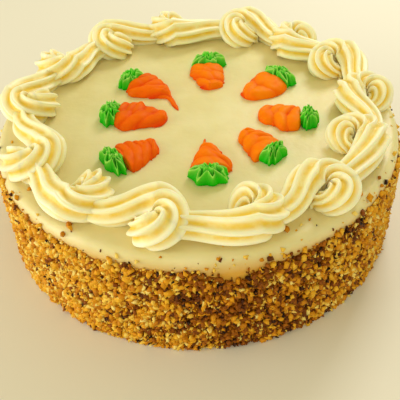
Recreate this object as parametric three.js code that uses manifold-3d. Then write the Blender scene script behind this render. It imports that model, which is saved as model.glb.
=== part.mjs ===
// Carrot cake: a round frosted layer cake with a chopped-nut coat on its side, a border of
// fourteen piped reverse-shell swirls and a ring of eight piped carrots with leafy tops.
// Millimetres, +Z up, origin at the centre of the cake's base, -Y towards the front.
import * as THREE from "three";
import { mergeVertices } from "three/addons/utils/BufferGeometryUtils.js";
import Module from "manifold-3d";

const wasm = await Module();
wasm.setup();

// ---------- driving dimensions ----------

const DEG = Math.PI / 180;

// Cake
const CAKE_HEIGHT = 62.5;
const FROSTING_RADIUS = 108.4;
const EDGE_ROUND = 4.6;
const EDGE_STEPS = 2;
const CAKE_SEGMENTS = 64;

// Nut coat
const COAT_TOP = 53;
const COAT_RADIUS = 109;
const COAT_ROWS = 6;
const COAT_ROUGHNESS = 1.3;
const COAT_LIFT_SHARE = 0.8;
const COAT_STEP = 1.2;
const COAT_TOP_WAVES = [
  { height: 0.96, waves: 7, shift: 0 },
  { height: 0.64, waves: 17, shift: 1 },
];
const COAT_WAVE_START = 0.7;
const CHUNK_ROWS = 4;
const CHUNKS_PER_ROW = 10;
const CHUNK_SIZE = [2.4, 3.6];
const CHUNK_STRETCH = [[0.75, 1.25], [0.75, 1.25], [0.65, 1.1]];
const CHUNK_UNEVEN = [0.82, 1.15];
const CHUNK_SHIFT = [-0.3, 0.3];
const CHUNK_LEVEL = [0.3, 0.7];
const CHUNK_CLEARANCE = 1.6;
const STRAY_COUNT = 5;
const STRAY_SIZE = [1.1, 1.7];
const STRAY_PLACE = [0.2, 0.8];
const STRAY_LEVEL = [56, 59];
const STRAY_DEPTH = 0.6;

// Piped border: angle at which each head ends, counter-clockwise, and radius of its centre
const HEAD_END = [269, 296, 319.5, 347, 14, 38, 59.5, 81.5, 110.5, 134.5, 160, 186, 218, 244];
const HEAD_CENTRE = [92, 90, 94, 86.5, 93, 91.5, 94, 92.5, 94, 92.5, 95, 91.5, 93, 89];
const HEAD_BACK = 3;
const BORDER_RADIUS = 93.5;
const ROPE_RADIUS = 9;
const TAIL_RADIUS = 6.6;
const TURN_RADIUS = 7.7;
const EYE_RADIUS = 0.3;
const START_TURN = -90 * DEG;
const GROWTH_TURN = 100 * DEG;
const START_GIRTH = 0.5;
const START_REACH = 0.6;
const END_REACH = 1.22;
const FAR_REACH = 1.07;
const ELBOW = 0.3;
const ROPE_SINK = 0.76;
const HEAD_CLIMB = 1.8;
const FLUTES = 7;
const FLUTE_DEPTH = 0.24;
const TAIL_TWIST = 25 * DEG;
const TAIL_TUCK = 5;
const TAIL_SWING = { leaveAlong: 0.42, leaveAcross: 1.05, arriveAlong: 0.55 };
const TAIL_RELEASE = 0.3;
const PIECE_GAP = 0.3;
const START_RINGS = 2;
const TURN_RINGS = 7;
const TAIL_RINGS = 3;

// Carrots: place, direction of the leafy top, outline from the butt to the tip as rows of
// [along, right edge, left edge], and place and size of the leafy top on the carrot's own axes
const CARROTS = [
  {
    x: 7.6,
    y: 39,
    leafward: 88,
    outline: [
      [12, -8.4, 9.7], [7, -9, 10.5], [3, -9.1, 10.6], [0, -9, 8.4], [-4, -9, 6.7],
      [-8, -8.6, 5.3], [-11, -7, 3.5], [-13.5, -2.8, 1.5],
    ],
    leaf: { along: 15.2, across: -0.3, depth: 12.5, width: 19 },
  },
  {
    x: 38,
    y: 24.1,
    leafward: 44,
    outline: [
      [12, -10, 9.6], [8, -11.2, 10.8], [3, -12, 9.7], [-1, -11.2, 8.6], [-5, -8.9, 7.6],
      [-9, -6.2, 6.1], [-12, -4.6, 4.4], [-14, -2, 1.8],
    ],
    leaf: { along: 14.6, across: -2.4, depth: 12, width: 21 },
  },
  {
    x: 45,
    y: -6.5,
    leafward: 352,
    outline: [
      [11.5, -9.5, 7.5], [8, -11, 10], [4, -11.9, 9.3], [1, -11.2, 10.4], [-2, -8, 11.2],
      [-5, -6.6, 10], [-8.5, -5.6, 9.4], [-12, -2.6, 5.6],
    ],
    leaf: { along: 15.3, across: -2.4, depth: 10.5, width: 18 },
  },
  {
    x: 29.3,
    y: -29.9,
    leafward: 312,
    outline: [
      [11, -10.3, 6.5], [8, -10.3, 9.5], [3, -8.3, 10.2], [-1, -6.8, 9.8], [-4, -5.2, 9.2],
      [-7, -4, 7.8], [-10, -1.6, 6.7], [-13, 1.8, 5.2],
    ],
    leaf: { along: 13.8, across: -1.5, depth: 10, width: 17 },
  },
  {
    x: 5.8,
    y: -41.1,
    leafward: 266,
    outline: [
      [11, -9.6, 9.8], [7, -9.8, 10.4], [3, -9, 10], [0, -8.3, 8.2], [-2.5, -7.5, 5.4],
      [-6, -6.6, 4.7], [-9.5, -5.7, 2.6], [-12.5, -4.9, -0.9], [-15, -4.4, -3],
      [-18.5, -4, -3.1],
    ],
    leaf: { along: 14.6, across: -0.4, depth: 12, width: 20 },
  },
  {
    x: -31.4,
    y: -31,
    leafward: 214,
    outline: [
      [12, -5.5, 12.8], [9, -8.6, 13.4], [5, -9.4, 12.7], [1, -8.6, 10.6], [-2, -6.3, 9.9],
      [-5, -4.3, 9.2], [-8, -3.4, 7], [-11, -3.8, 2.4],
    ],
    leaf: { along: 15.4, across: 2.2, depth: 10.5, width: 21.5 },
  },
  {
    x: -31.6,
    y: -0.3,
    leafward: 165,
    outline: [
      [13, -8.8, 7.5], [9.5, -11.2, 11.4], [6, -11.6, 13], [2.5, -13, 12.3],
      [-1.5, -10, 10.2], [-6, -8.8, 8.4], [-11.5, -7.2, 5.9], [-15.5, -3.6, 3],
    ],
    leaf: { along: 16.3, across: 2.3, depth: 10.5, width: 19.5 },
  },
  {
    x: -26.1,
    y: 28.4,
    leafward: 137,
    outline: [
      [12, -9, 8], [8.5, -10.8, 11], [4, -10.3, 11.7], [0, -9, 10], [-5, -8.1, 7],
      [-10, -5.2, 3.7], [-14, -2.4, 1.2], [-20, 0.9, 3.9], [-27, 5, 6.5],
    ],
    leaf: { along: 14.8, across: 2, depth: 12, width: 18 },
  },
];
const CARROT_HEIGHT = 6;
const CARROT_SLENDER = 0.55;
const CARROT_SECTION = 5;
const CARROT_TIP_HEIGHT = 0.72;
const CARROT_END_HEIGHT = 0.7;
const CARROT_ROUNDNESS = 0.7;
const CARROT_BUTT_POINT = { along: 0.6, height: 0.6 };
const CARROT_TIP_POINT = { along: -0.6, height: 0.3 };
const LEAF_HEIGHT = 9;
const LEAF_SPIKES = 5;
const LEAF_CREST = 1.16;
const LEAF_NOTCH = 0.86;
const LEAF_MIDDLE = 0.66;
const LEAF_UNEVEN = [0.93, 1.07];
const LEAF_RUFFLE = { least: 0.72, most: 1.1, notch: 0.4 };
const LEAF_LEVELS = [
  { share: 0.68, height: 0 },
  { share: 1, height: 0.46 },
  { share: 0.64, height: 0.92 },
];

// Finishes
const FROSTING = new THREE.MeshStandardMaterial({ color: 0xe6dcb0, roughness: 0.5, metalness: 0 });
const PIPING = new THREE.MeshStandardMaterial({ color: 0xf6e8b4, roughness: 0.45, metalness: 0 });
const ORANGE_ICING = new THREE.MeshStandardMaterial({ color: 0xf56a08, roughness: 0.45, metalness: 0 });
const GREEN_ICING = new THREE.MeshStandardMaterial({ color: 0x3fa32b, roughness: 0.45, metalness: 0 });

// ---------- helpers ----------

/** Repeatable random numbers in [0, 1). */
function seeded(seed) {
  let state = seed >>> 0;
  return () => {
    state = (state + 0x6d2b79f5) >>> 0;
    let t = Math.imul(state ^ (state >>> 15), 1 | state);
    t = (t + Math.imul(t ^ (t >>> 7), 61 | t)) ^ t;
    return ((t ^ (t >>> 14)) >>> 0) / 4294967296;
  };
}

const MERGE_DISTANCE = 1e-4;
const CLOSE = 0.01;

const mix = (a, b, t) => a + (b - a) * t;

/** Copy of a geometry with nothing but its faces and its positions, those at one place joined. */
function merge(geometry) {
  const bare = geometry.clone();
  bare.deleteAttribute("normal");
  bare.deleteAttribute("uv");
  return mergeVertices(bare, MERGE_DISTANCE);
}

/** Hands a closed geometry to the solid kernel, without faces that have shrunk to a line. */
function toSolid(geometry) {
  const merged = merge(geometry);
  const index = merged.index.array;
  const triangles = [];
  for (let i = 0; i < index.length; i += 3) {
    const [a, b, c] = [index[i], index[i + 1], index[i + 2]];
    if (a !== b && b !== c && a !== c) triangles.push(a, b, c);
  }
  const mesh = new wasm.Mesh({
    numProp: 3,
    vertProperties: new Float32Array(merged.attributes.position.array),
    triVerts: new Uint32Array(triangles),
  });
  return new wasm.Manifold(mesh);
}

/** Turns a solid back into a geometry with flat faces. */
function toGeometry(solid) {
  const mesh = solid.getMesh();
  const geometry = new THREE.BufferGeometry();
  geometry.setAttribute("position", new THREE.BufferAttribute(mesh.vertProperties, 3));
  geometry.setIndex(new THREE.BufferAttribute(mesh.triVerts, 1));
  geometry.computeVertexNormals();
  return geometry;
}

/** Largest separate body of a solid; loose scraps of a cut are dropped. */
function largestBody(solid) {
  return solid.decompose().reduce((best, body) => (body.volume() > best.volume() ? body : best));
}

/** Closed skin over rings of equally many points, each end closed by a fan to a point. */
function skinOverRings(rings, startPoint, endPoint) {
  const count = rings[0].length;
  const positions = [];
  const index = [];
  for (const ring of rings) for (const p of ring) positions.push(p.x, p.y, p.z);
  for (let r = 0; r + 1 < rings.length; r += 1) {
    for (let j = 0; j < count; j += 1) {
      const a = r * count + j;
      const b = r * count + ((j + 1) % count);
      index.push(a, b, b + count, a, b + count, a + count);
    }
  }
  const start = rings.length * count;
  const last = start - count;
  positions.push(startPoint.x, startPoint.y, startPoint.z, endPoint.x, endPoint.y, endPoint.z);
  for (let j = 0; j < count; j += 1) {
    const next = (j + 1) % count;
    index.push(start, next, j, start + 1, last + j, last + next);
  }
  const geometry = new THREE.BufferGeometry();
  geometry.setAttribute("position", new THREE.Float32BufferAttribute(positions, 3));
  geometry.setIndex(index);
  return geometry;
}

/** Reverses the faces of a geometry that came out inside out. */
function facingOut(geometry) {
  const p = geometry.attributes.position;
  const index = geometry.index.array;
  const [a, b, c] = [new THREE.Vector3(), new THREE.Vector3(), new THREE.Vector3()];
  let volume = 0;
  for (let i = 0; i < index.length; i += 3) {
    a.fromBufferAttribute(p, index[i]);
    b.fromBufferAttribute(p, index[i + 1]);
    c.fromBufferAttribute(p, index[i + 2]);
    volume += a.dot(b.cross(c));
  }
  if (volume < 0) geometry.setIndex(Array.from(index).reverse());
  return geometry;
}

/** Mean of a ring's points. */
function middle(ring) {
  const sum = ring.reduce((total, p) => total.add(p), new THREE.Vector3());
  return sum.divideScalar(ring.length);
}

// ---------- cake with its nut coat ----------

/** Profile of the frosted cake, from the axis at the base to the axis at the top. */
function cakeProfile() {
  const points = [new THREE.Vector2(0, 0)];
  for (let row = 0; row <= COAT_ROWS; row += 1) {
    points.push(new THREE.Vector2(COAT_RADIUS, (COAT_TOP * row) / COAT_ROWS));
  }
  points.push(new THREE.Vector2(FROSTING_RADIUS, COAT_TOP + COAT_STEP));
  for (let step = 0; step <= EDGE_STEPS; step += 1) {
    const turn = (step / EDGE_STEPS) * 90 * DEG;
    const radius = FROSTING_RADIUS - EDGE_ROUND * (1 - Math.cos(turn));
    points.push(new THREE.Vector2(radius, CAKE_HEIGHT - EDGE_ROUND * (1 - Math.sin(turn))));
  }
  points.push(new THREE.Vector2(0, CAKE_HEIGHT));
  return points;
}

/** Height of the coat's upper edge over its mean, at an angle round the cake. */
function coatWave(angle) {
  return COAT_TOP_WAVES.reduce(
    (sum, { height, waves, shift }) => sum + height * Math.sin(waves * angle + shift),
    0,
  );
}

/** Lathed cake body whose side is roughened below the coat's wavy upper line. */
function cakeBody() {
  const lathe = new THREE.LatheGeometry(cakeProfile(), CAKE_SEGMENTS);
  lathe.rotateX(90 * DEG);
  const solid = merge(lathe);
  const position = solid.attributes.position;
  const random = seeded(11);
  for (let i = 0; i < position.count; i += 1) {
    const [x, y, z] = [position.getX(i), position.getY(i), position.getZ(i)];
    const radius = Math.hypot(x, y);
    if (radius < FROSTING_RADIUS - CLOSE || z > COAT_TOP + COAT_STEP + CLOSE) continue;
    const angle = Math.atan2(y, x);
    const inCoat = z < COAT_TOP + CLOSE;
    const rough = inCoat ? COAT_ROUGHNESS * (2 * random() - 1) : 0;
    const nearTop = Math.max(0, (z / COAT_TOP - COAT_WAVE_START) / (1 - COAT_WAVE_START));
    const lift = z > CLOSE ? nearTop * coatWave(angle) + COAT_LIFT_SHARE * rough : 0;
    const scale = (radius + rough) / radius;
    position.setXYZ(i, x * scale, y * scale, z + lift);
  }
  return toSolid(solid);
}

/** One angular nut chunk at a place on the cake. */
function nutChunk(random, angle, radius, height, size) {
  const chunk = merge(new THREE.IcosahedronGeometry(size, 0));
  const position = chunk.attributes.position;
  const stretch = CHUNK_STRETCH.map(([least, most]) => mix(least, most, random()));
  for (let i = 0; i < position.count; i += 1) {
    const uneven = mix(...CHUNK_UNEVEN, random());
    position.setXYZ(
      i,
      position.getX(i) * stretch[0] * uneven,
      position.getY(i) * stretch[1] * uneven,
      position.getZ(i) * stretch[2] * uneven,
    );
  }
  chunk.rotateX(random() * 360 * DEG);
  chunk.rotateY(random() * 360 * DEG);
  chunk.translate(radius * Math.cos(angle), radius * Math.sin(angle), height);
  return toSolid(chunk);
}

/** Cake, coat and chunks as one solid; the chunks stay clear of the base. */
function makeCake() {
  const random = seeded(23);
  let cake = cakeBody();
  for (let row = 0; row < CHUNK_ROWS; row += 1) {
    for (let column = 0; column < CHUNKS_PER_ROW; column += 1) {
      const size = mix(...CHUNK_SIZE, random() ** 1.5);
      const shift = (row % 2) / 2 + mix(...CHUNK_SHIFT, random());
      const angle = ((column + shift) / CHUNKS_PER_ROW) * 360 * DEG;
      const level = ((row + mix(...CHUNK_LEVEL, random())) / CHUNK_ROWS) * COAT_TOP;
      const height = Math.max(level, CHUNK_CLEARANCE * size);
      cake = cake.add(nutChunk(random, angle, COAT_RADIUS, height, size));
    }
  }
  for (let stray = 0; stray < STRAY_COUNT; stray += 1) {
    const size = mix(...STRAY_SIZE, random());
    const angle = ((stray + mix(...STRAY_PLACE, random())) / STRAY_COUNT) * 360 * DEG;
    const height = mix(...STRAY_LEVEL, random());
    cake = cake.add(nutChunk(random, angle, FROSTING_RADIUS - STRAY_DEPTH, height, size));
  }
  return cake;
}

// ---------- piped border ----------

/** Distance of the rope's middle from the eye, which grows as the rope winds out. */
function eyeReach(swirl, turned) {
  const share = (turned - START_TURN) / (Math.PI - START_TURN);
  return swirl.turn * mix(START_REACH, END_REACH, share ** 0.7);
}

/** Station on the rope's way round the eye; the turn counts from the side on which it starts. */
function roundEye(swirl, turned, sink, pitch) {
  const reach = eyeReach(swirl, turned);
  const t = THREE.MathUtils.clamp((turned - START_TURN) / GROWTH_TURN, 0, 1);
  return {
    u: reach * Math.sin(turned),
    v: reach * Math.cos(turned),
    sink,
    pitch,
    heading: -turned,
    radius: swirl.rope * mix(START_GIRTH, 1, t * t * (3 - 2 * t)),
    twist: turned,
    inner: 1,
    room: reach - EYE_RADIUS,
  };
}

/**
 * Course of the piped rope in the swirl's own plan: u runs along the border, v is the offset
 * towards the side on which the rope starts, and the eye is at u = v = 0.
 */
function ropeCourse(swirl) {
  const stations = [];
  const elbow = ELBOW * swirl.rope;
  stations.push(roundEye(swirl, START_TURN, swirl.rope, 90 * DEG));
  for (let i = 1; i < START_RINGS; i += 1) {
    const pitch = 90 * DEG * (1 - i / START_RINGS);
    const turned = START_TURN + (elbow * (1 - Math.sin(pitch))) / swirl.turn;
    stations.push(roundEye(swirl, turned, elbow * (1 - Math.cos(pitch)), pitch));
  }
  for (let i = 0; i <= TURN_RINGS; i += 1) {
    const turned = mix(START_TURN + elbow / swirl.turn, Math.PI, i / TURN_RINGS);
    const climb = Math.max(0, turned / Math.PI) ** 2;
    stations.push(roundEye(swirl, turned, -HEAD_CLIMB * climb, 0));
  }
  const last = eyeReach(swirl, Math.PI);
  const tail = new THREE.CubicBezierCurve(
    new THREE.Vector2(0, -last),
    new THREE.Vector2(-TAIL_SWING.leaveAlong * swirl.tailLength, -TAIL_SWING.leaveAcross * last),
    new THREE.Vector2(-TAIL_SWING.arriveAlong * swirl.tailLength, swirl.tailOffset),
    new THREE.Vector2(-swirl.tailLength, swirl.tailOffset),
  );
  for (let i = 1; i <= TAIL_RINGS; i += 1) {
    const t = i / TAIL_RINGS;
    const place = tail.getPoint(t);
    const along = tail.getTangent(t);
    stations.push({
      u: place.x,
      v: place.y,
      sink: -HEAD_CLIMB * (1 - t) ** 2,
      pitch: 0,
      heading: Math.atan2(along.y, along.x),
      radius: mix(swirl.rope, TAIL_RADIUS, t ** 0.9),
      twist: Math.PI + TAIL_TWIST * t,
      inner: Math.max(0, 1 - t / TAIL_RELEASE),
      room: last - EYE_RADIUS,
    });
  }
  return stations;
}

/** Point of the swirl's plan, at a height above the cake's top, set on the cake. */
function onBorder(swirl, u, v, height) {
  const angle = swirl.angle + u / BORDER_RADIUS;
  const radius = swirl.centre + swirl.side * v;
  return new THREE.Vector3(radius * Math.cos(angle), radius * Math.sin(angle), CAKE_HEIGHT + height);
}

/** Distance eased so that it never passes the limit; a higher sharpness eases it later. */
function squeezed(distance, limit, sharpness) {
  return distance / (1 + (distance / limit) ** sharpness) ** (1 / sharpness);
}

/** Star-shaped section of the rope at one station of its course. */
function ropeRing(swirl, station, grow) {
  const ring = [];
  const points = 2 * FLUTES;
  const [ch, sh] = [Math.cos(station.heading), Math.sin(station.heading)];
  const [cp, sp] = [Math.cos(station.pitch), Math.sin(station.pitch)];
  for (let j = 0; j < points; j += 1) {
    const around = (j / points) * 360 * DEG + 90 * DEG - station.twist;
    const crest = j % 2 === 0 ? 1 : 1 - FLUTE_DEPTH;
    const reach = station.radius * crest + grow;
    let inward = reach * Math.cos(around);
    let up = reach * Math.sin(around);
    if (inward > 0) inward *= mix(1, station.room / (station.radius + grow), station.inner);
    if (up < 0) up = -mix(-up, squeezed(-up, ELBOW * station.radius, 4), sp);
    const u = station.u + sh * inward - ch * sp * up;
    const v = station.v - ch * inward - sh * sp * up;
    const height = station.radius * ROPE_SINK - station.sink + cp * up;
    ring.push(onBorder(swirl, u, v, height));
  }
  return ring;
}

/** Stretch of rope between two of its stations. */
function ropeStretch(swirl, stations, grow) {
  const rings = stations.map((station) => ropeRing(swirl, station, grow));
  return toSolid(facingOut(skinOverRings(rings, middle(rings[0]), middle(rings.at(-1)))));
}

/** Whole swirl before it is cut by its neighbour and levelled on the cake. */
function rawSwirl(swirl, grow = 0) {
  const stations = ropeCourse(swirl);
  const half = START_RINGS + Math.floor(TURN_RINGS / 2);
  const head = ropeStretch(swirl, stations.slice(0, half + 1), grow);
  const tail = ropeStretch(swirl, stations.slice(half), grow);
  return head.add(tail);
}

/** Sizes and places of the swirls, worked out from the angles at which their heads end. */
function swirlPlans() {
  const random = seeded(5);
  return HEAD_END.map((end, i) => {
    const before = HEAD_END[(i + HEAD_END.length - 1) % HEAD_END.length];
    const rope = ROPE_RADIUS * mix(0.96, 1.04, random());
    const turn = TURN_RADIUS * mix(0.95, 1.06, random());
    const spacing = (((end - before + 360) % 360) * DEG) * BORDER_RADIUS;
    const side = i % 2 === 0 ? 1 : -1;
    const centre = HEAD_CENTRE[i];
    return {
      rope,
      turn,
      side,
      centre,
      angle: end * DEG - (FAR_REACH * turn + rope + HEAD_BACK) / BORDER_RADIUS,
      tailLength: spacing - turn - rope + TAIL_TUCK,
      tailOffset: side * (BORDER_RADIUS - centre),
    };
  });
}

/** All swirls, each tail cut where the neighbour's head lies on it. */
function makeSwirls() {
  const plans = swirlPlans();
  const above = new THREE.BoxGeometry(300, 300, 60);
  above.translate(0, 0, CAKE_HEIGHT + 30);
  const aboveCake = toSolid(above);
  return plans.map((plan, i) => {
    const neighbour = plans[(i + plans.length - 1) % plans.length];
    const cut = rawSwirl(plan).subtract(rawSwirl(neighbour, PIECE_GAP));
    return largestBody(cut.intersect(aboveCake));
  });
}

// ---------- piped carrots ----------

/** Places a point of a carrot's own plan: along runs from its middle towards the leaves. */
function onCarrot(carrot, along, across, height) {
  const [c, s] = [Math.cos(carrot.leafward * DEG), Math.sin(carrot.leafward * DEG)];
  const x = carrot.x + c * along - s * across;
  const y = carrot.y + s * along + c * across;
  return new THREE.Vector3(x, y, CAKE_HEIGHT + height);
}

/** Carrot body: a mound of icing on its outline, lower where it is narrow. */
function carrotBody(carrot) {
  const last = carrot.outline.length - 1;
  const rings = carrot.outline.map(([along, right, left], i) => {
    const end = i === 0 || i === last ? CARROT_END_HEIGHT : 1;
    const full = CARROT_HEIGHT * mix(1, CARROT_TIP_HEIGHT, i / last);
    const top = Math.min(full, CARROT_SLENDER * (left - right)) * end;
    const ring = [];
    for (let j = 0; j <= CARROT_SECTION; j += 1) {
      const around = 180 * DEG * (j / CARROT_SECTION);
      const across = mix(right, left, 0.5 + 0.5 * Math.cos(around));
      ring.push(onCarrot(carrot, along, across, top * Math.sin(around) ** CARROT_ROUNDNESS));
    }
    return ring;
  });
  const closing = ([along, right, left], point) =>
    onCarrot(carrot, along + point.along, (right + left) / 2, point.height);
  const butt = closing(carrot.outline[0], CARROT_BUTT_POINT);
  const tip = closing(carrot.outline[last], CARROT_TIP_POINT);
  return toSolid(facingOut(skinOverRings(rings, butt, tip)));
}

/** Leafy top: a ruffled tuft across the carrot's butt, wider half way up than at its foot. */
function leafyTop(carrot, seed, grow = 0) {
  const random = seeded(seed);
  const count = 3 * LEAF_SPIKES;
  const { along: centre, across: aside, depth, width } = carrot.leaf;
  const spikes = [];
  for (let j = 0; j < count; j += 1) {
    const crest = j % 3 === 0 ? LEAF_CREST : LEAF_NOTCH;
    spikes.push(crest * mix(...LEAF_UNEVEN, random()));
  }
  const rings = LEAF_LEVELS.map(({ share, height }) => {
    const ring = [];
    for (let j = 0; j < count; j += 1) {
      const around = (j / count) * 360 * DEG;
      const reach = share * spikes[j];
      const along = centre + (0.5 * depth * reach + grow) * Math.cos(around);
      const across = aside + (0.5 * width * reach + grow) * Math.sin(around);
      if (height > 0) {
        const peak = j % 3 === 0 ? 1 : LEAF_RUFFLE.notch * random();
        const ruffle = mix(LEAF_RUFFLE.least, LEAF_RUFFLE.most, peak);
        ring.push(onCarrot(carrot, along, across, height * LEAF_HEIGHT * ruffle + grow));
      } else {
        ring.push(onCarrot(carrot, along, across, 0));
      }
    }
    return ring;
  });
  const foot = onCarrot(carrot, centre, aside, 0);
  const top = onCarrot(carrot, centre, aside, LEAF_MIDDLE * LEAF_HEIGHT + grow);
  return toSolid(facingOut(skinOverRings(rings, foot, top)));
}

// ---------- assembly ----------

const cakeGroup = new THREE.Group();
cakeGroup.name = "carrot_cake";

/** Adds one named piece to the cake. */
function addPiece(name, solid, material) {
  const piece = new THREE.Mesh(toGeometry(solid), material);
  piece.name = name;
  cakeGroup.add(piece);
}

addPiece("cake", makeCake(), FROSTING);
makeSwirls().forEach((solid, i) => addPiece(`swirl_${String(i + 1).padStart(2, "0")}`, solid, PIPING));
CARROTS.forEach((carrot, i) => {
  const leaf = leafyTop(carrot, 40 + i);
  const body = carrotBody(carrot).subtract(leafyTop(carrot, 40 + i, PIECE_GAP));
  addPiece(`carrot_${i + 1}`, largestBody(body), ORANGE_ICING);
  addPiece(`leaf_${i + 1}`, leaf, GREEN_ICING);
});

export default cakeGroup;
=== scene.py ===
"""A round carrot cake for the studio.

Smooth frosting, a side coated with chopped nuts, a border of fourteen piped swirls and a ring of
eight piped carrots with leafy tops. Lengths are in metres, +Z is up and the cake stands on z = 0.
"""

import logging
import math
from dataclasses import dataclass, field, fields
from enum import Enum
from typing import Any, Dict, List, Optional, Sequence, Tuple, Union

import bmesh
import bpy
import numpy as np
from mathutils import Matrix, Vector, noise


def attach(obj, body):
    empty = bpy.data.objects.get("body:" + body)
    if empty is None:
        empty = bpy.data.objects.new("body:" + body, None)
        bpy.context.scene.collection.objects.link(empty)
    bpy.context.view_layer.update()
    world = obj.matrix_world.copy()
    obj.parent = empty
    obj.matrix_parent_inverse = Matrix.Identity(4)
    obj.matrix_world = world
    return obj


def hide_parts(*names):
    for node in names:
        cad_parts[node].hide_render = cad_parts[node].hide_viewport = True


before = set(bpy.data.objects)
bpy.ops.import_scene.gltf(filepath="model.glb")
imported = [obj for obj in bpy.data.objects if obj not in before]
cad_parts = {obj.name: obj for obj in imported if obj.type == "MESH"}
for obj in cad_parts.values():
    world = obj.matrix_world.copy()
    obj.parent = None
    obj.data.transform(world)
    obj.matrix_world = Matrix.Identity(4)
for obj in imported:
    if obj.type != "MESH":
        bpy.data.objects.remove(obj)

MM = 0.001
TURN = 2 * math.pi
BODY = "root"
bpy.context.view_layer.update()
LOG = logging.getLogger("carrot_cake")

Colour = Tuple[int, int, int]
Face = Tuple[int, ...]
Pair = Tuple[float, float]
Triple = Tuple[float, float, float]
Point = Triple
Operand = Union["Field", float, int]


# ---------------------------------------------------------------- small helpers


def mix(a: float, b: float, t: float) -> float:
    """Value a share t of the way from a to b."""
    return a + (b - a) * t


def clamp(value: float) -> float:
    """The value, kept between 0 and 1."""
    return min(1.0, max(0.0, value))


def linear(colour: Colour) -> Tuple[float, float, float, float]:
    """Turns a paint-chart colour into the light values that a shader uses.

    Args:
        colour: red, green and blue from 0 to 255.

    Returns:
        The colour in linear light, with full cover.
    """
    steps = [part / 255 for part in colour]
    light = [s / 12.92 if s <= 0.04045 else ((s + 0.055) / 1.055) ** 2.4 for s in steps]
    return (light[0], light[1], light[2], 1.0)


def smooth_noise(x: float, y: float, z: float, scale: float) -> float:
    """Smooth repeatable unevenness between about -1 and 1, with features of the given size."""
    return noise.noise(Vector((x / scale, y / scale, z / scale)))


def polar(radius: float, angle: float, height: float) -> Point:
    """Point at a radius and an angle (in radians) round the cake's axis."""
    return (radius * math.cos(angle), radius * math.sin(angle), height)


def circle_angles(count: int) -> List[float]:
    """Angles of points spread evenly round a circle, in radians."""
    return [TURN * i / count for i in range(count)]


def ring_faces(rings: int, columns: int) -> List[Face]:
    """Faces between closed rings of equally many points.

    Args:
        rings: number of rings.
        columns: number of points in a ring.

    Returns:
        The corner numbers of each face.
    """
    faces = []
    for row in range(rings - 1):
        for column in range(columns):
            a = row * columns + column
            b = row * columns + (column + 1) % columns
            faces.append((a, b, b + columns, a + columns))
    return faces


def capped_faces(rings: int, columns: int) -> List[Face]:
    """Faces of closed rings, with a fan from each end ring to a middle point.

    Args:
        rings: number of rings.
        columns: number of points in a ring.

    Returns:
        The corner numbers of each face; the two middles follow the last ring's points.
    """
    faces = ring_faces(rings, columns)
    last = (rings - 1) * columns
    middle = rings * columns
    for column in range(columns):
        after = (column + 1) % columns
        faces.append((middle, after, column))
        faces.append((middle + 1, last + column, last + after))
    return faces


def face_outwards(mesh: bpy.types.Mesh) -> None:
    """Turns every face of a closed mesh outwards and shades it smooth.

    Args:
        mesh: the mesh to put right.
    """
    work = bmesh.new()
    work.from_mesh(mesh)
    bmesh.ops.recalc_face_normals(work, faces=work.faces)
    work.to_mesh(mesh)
    work.free()
    mesh.shade_smooth()


def closed_mesh(name: str, points: Sequence[Point], faces: Sequence[Face]) -> bpy.types.Mesh:
    """Makes a mesh whose faces all point outwards.

    Args:
        name: name of the mesh.
        points: places of the corners.
        faces: corner numbers of each face.

    Returns:
        The mesh, shaded smooth.
    """
    mesh = bpy.data.meshes.new(name)
    mesh.from_pydata(points, [], faces)
    face_outwards(mesh)
    return mesh


def point_attribute(mesh: bpy.types.Mesh, name: str, values: Sequence[float]) -> None:
    """Writes one number for each point of a mesh."""
    attribute = mesh.attributes.new(name, "FLOAT", "POINT")
    attribute.data.foreach_set("value", np.asarray(values, dtype=np.float32))


def place_in_scene(name: str, data: Any) -> bpy.types.Object:
    """Puts a mesh, a lamp or a camera into the scene as an object at the origin.

    Args:
        name: name of the object.
        data: what the object shows.

    Returns:
        The object.
    """
    holder = bpy.data.objects.new(name, data)
    bpy.context.scene.collection.objects.link(holder)
    return holder


def hand_over(piece: bpy.types.Object, node: str) -> None:
    """Fixes a finished piece to the cake and hides the plain solid that it takes the place of.

    Args:
        piece: the finished piece.
        node: the plain solid that it takes the place of.
    """
    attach(piece, BODY)
    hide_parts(node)
    LOG.info("%s: %d faces", piece.name, len(piece.data.polygons))


def dress(mesh: bpy.types.Mesh, material: bpy.types.Material, node: str) -> None:
    """Turns a finished mesh into a piece of the cake.

    Args:
        mesh: the mesh, which gives the piece its name.
        material: what it is dressed in.
        node: the plain solid that it takes the place of.
    """
    piece = place_in_scene(mesh.name, mesh)
    mesh.materials.append(material)
    hand_over(piece, node)


# ---------------------------------------------------------------- node workbenches


class Field:
    """A number that a node tree works out; sums on it add Math nodes to the tree."""

    def __init__(self, bench: "Bench", socket: bpy.types.NodeSocket) -> None:
        """Keeps the workbench and the socket that gives the number."""
        self.bench = bench
        self.socket = socket

    def __add__(self, other: Operand) -> "Field":
        """Sum."""
        return self.bench.math("ADD", self, other)

    def __sub__(self, other: Operand) -> "Field":
        """Difference."""
        return self.bench.math("SUBTRACT", self, other)

    def __rsub__(self, other: Operand) -> "Field":
        """Difference from a plain number."""
        return self.bench.math("SUBTRACT", other, self)

    def __mul__(self, other: Operand) -> "Field":
        """Product."""
        return self.bench.math("MULTIPLY", self, other)

    def __truediv__(self, other: Operand) -> "Field":
        """Quotient."""
        return self.bench.math("DIVIDE", self, other)

    def __pow__(self, other: Operand) -> "Field":
        """Power."""
        return self.bench.math("POWER", self, other)

    def sin(self) -> "Field":
        """Sine of the angle."""
        return self.bench.math("SINE", self)

    def cos(self) -> "Field":
        """Cosine of the angle."""
        return self.bench.math("COSINE", self)

    def size(self) -> "Field":
        """Size without its sign."""
        return self.bench.math("ABSOLUTE", self)

    def at_least(self, least: Operand) -> "Field":
        """The number, or the least one allowed."""
        return self.bench.math("MAXIMUM", self, least)


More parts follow.
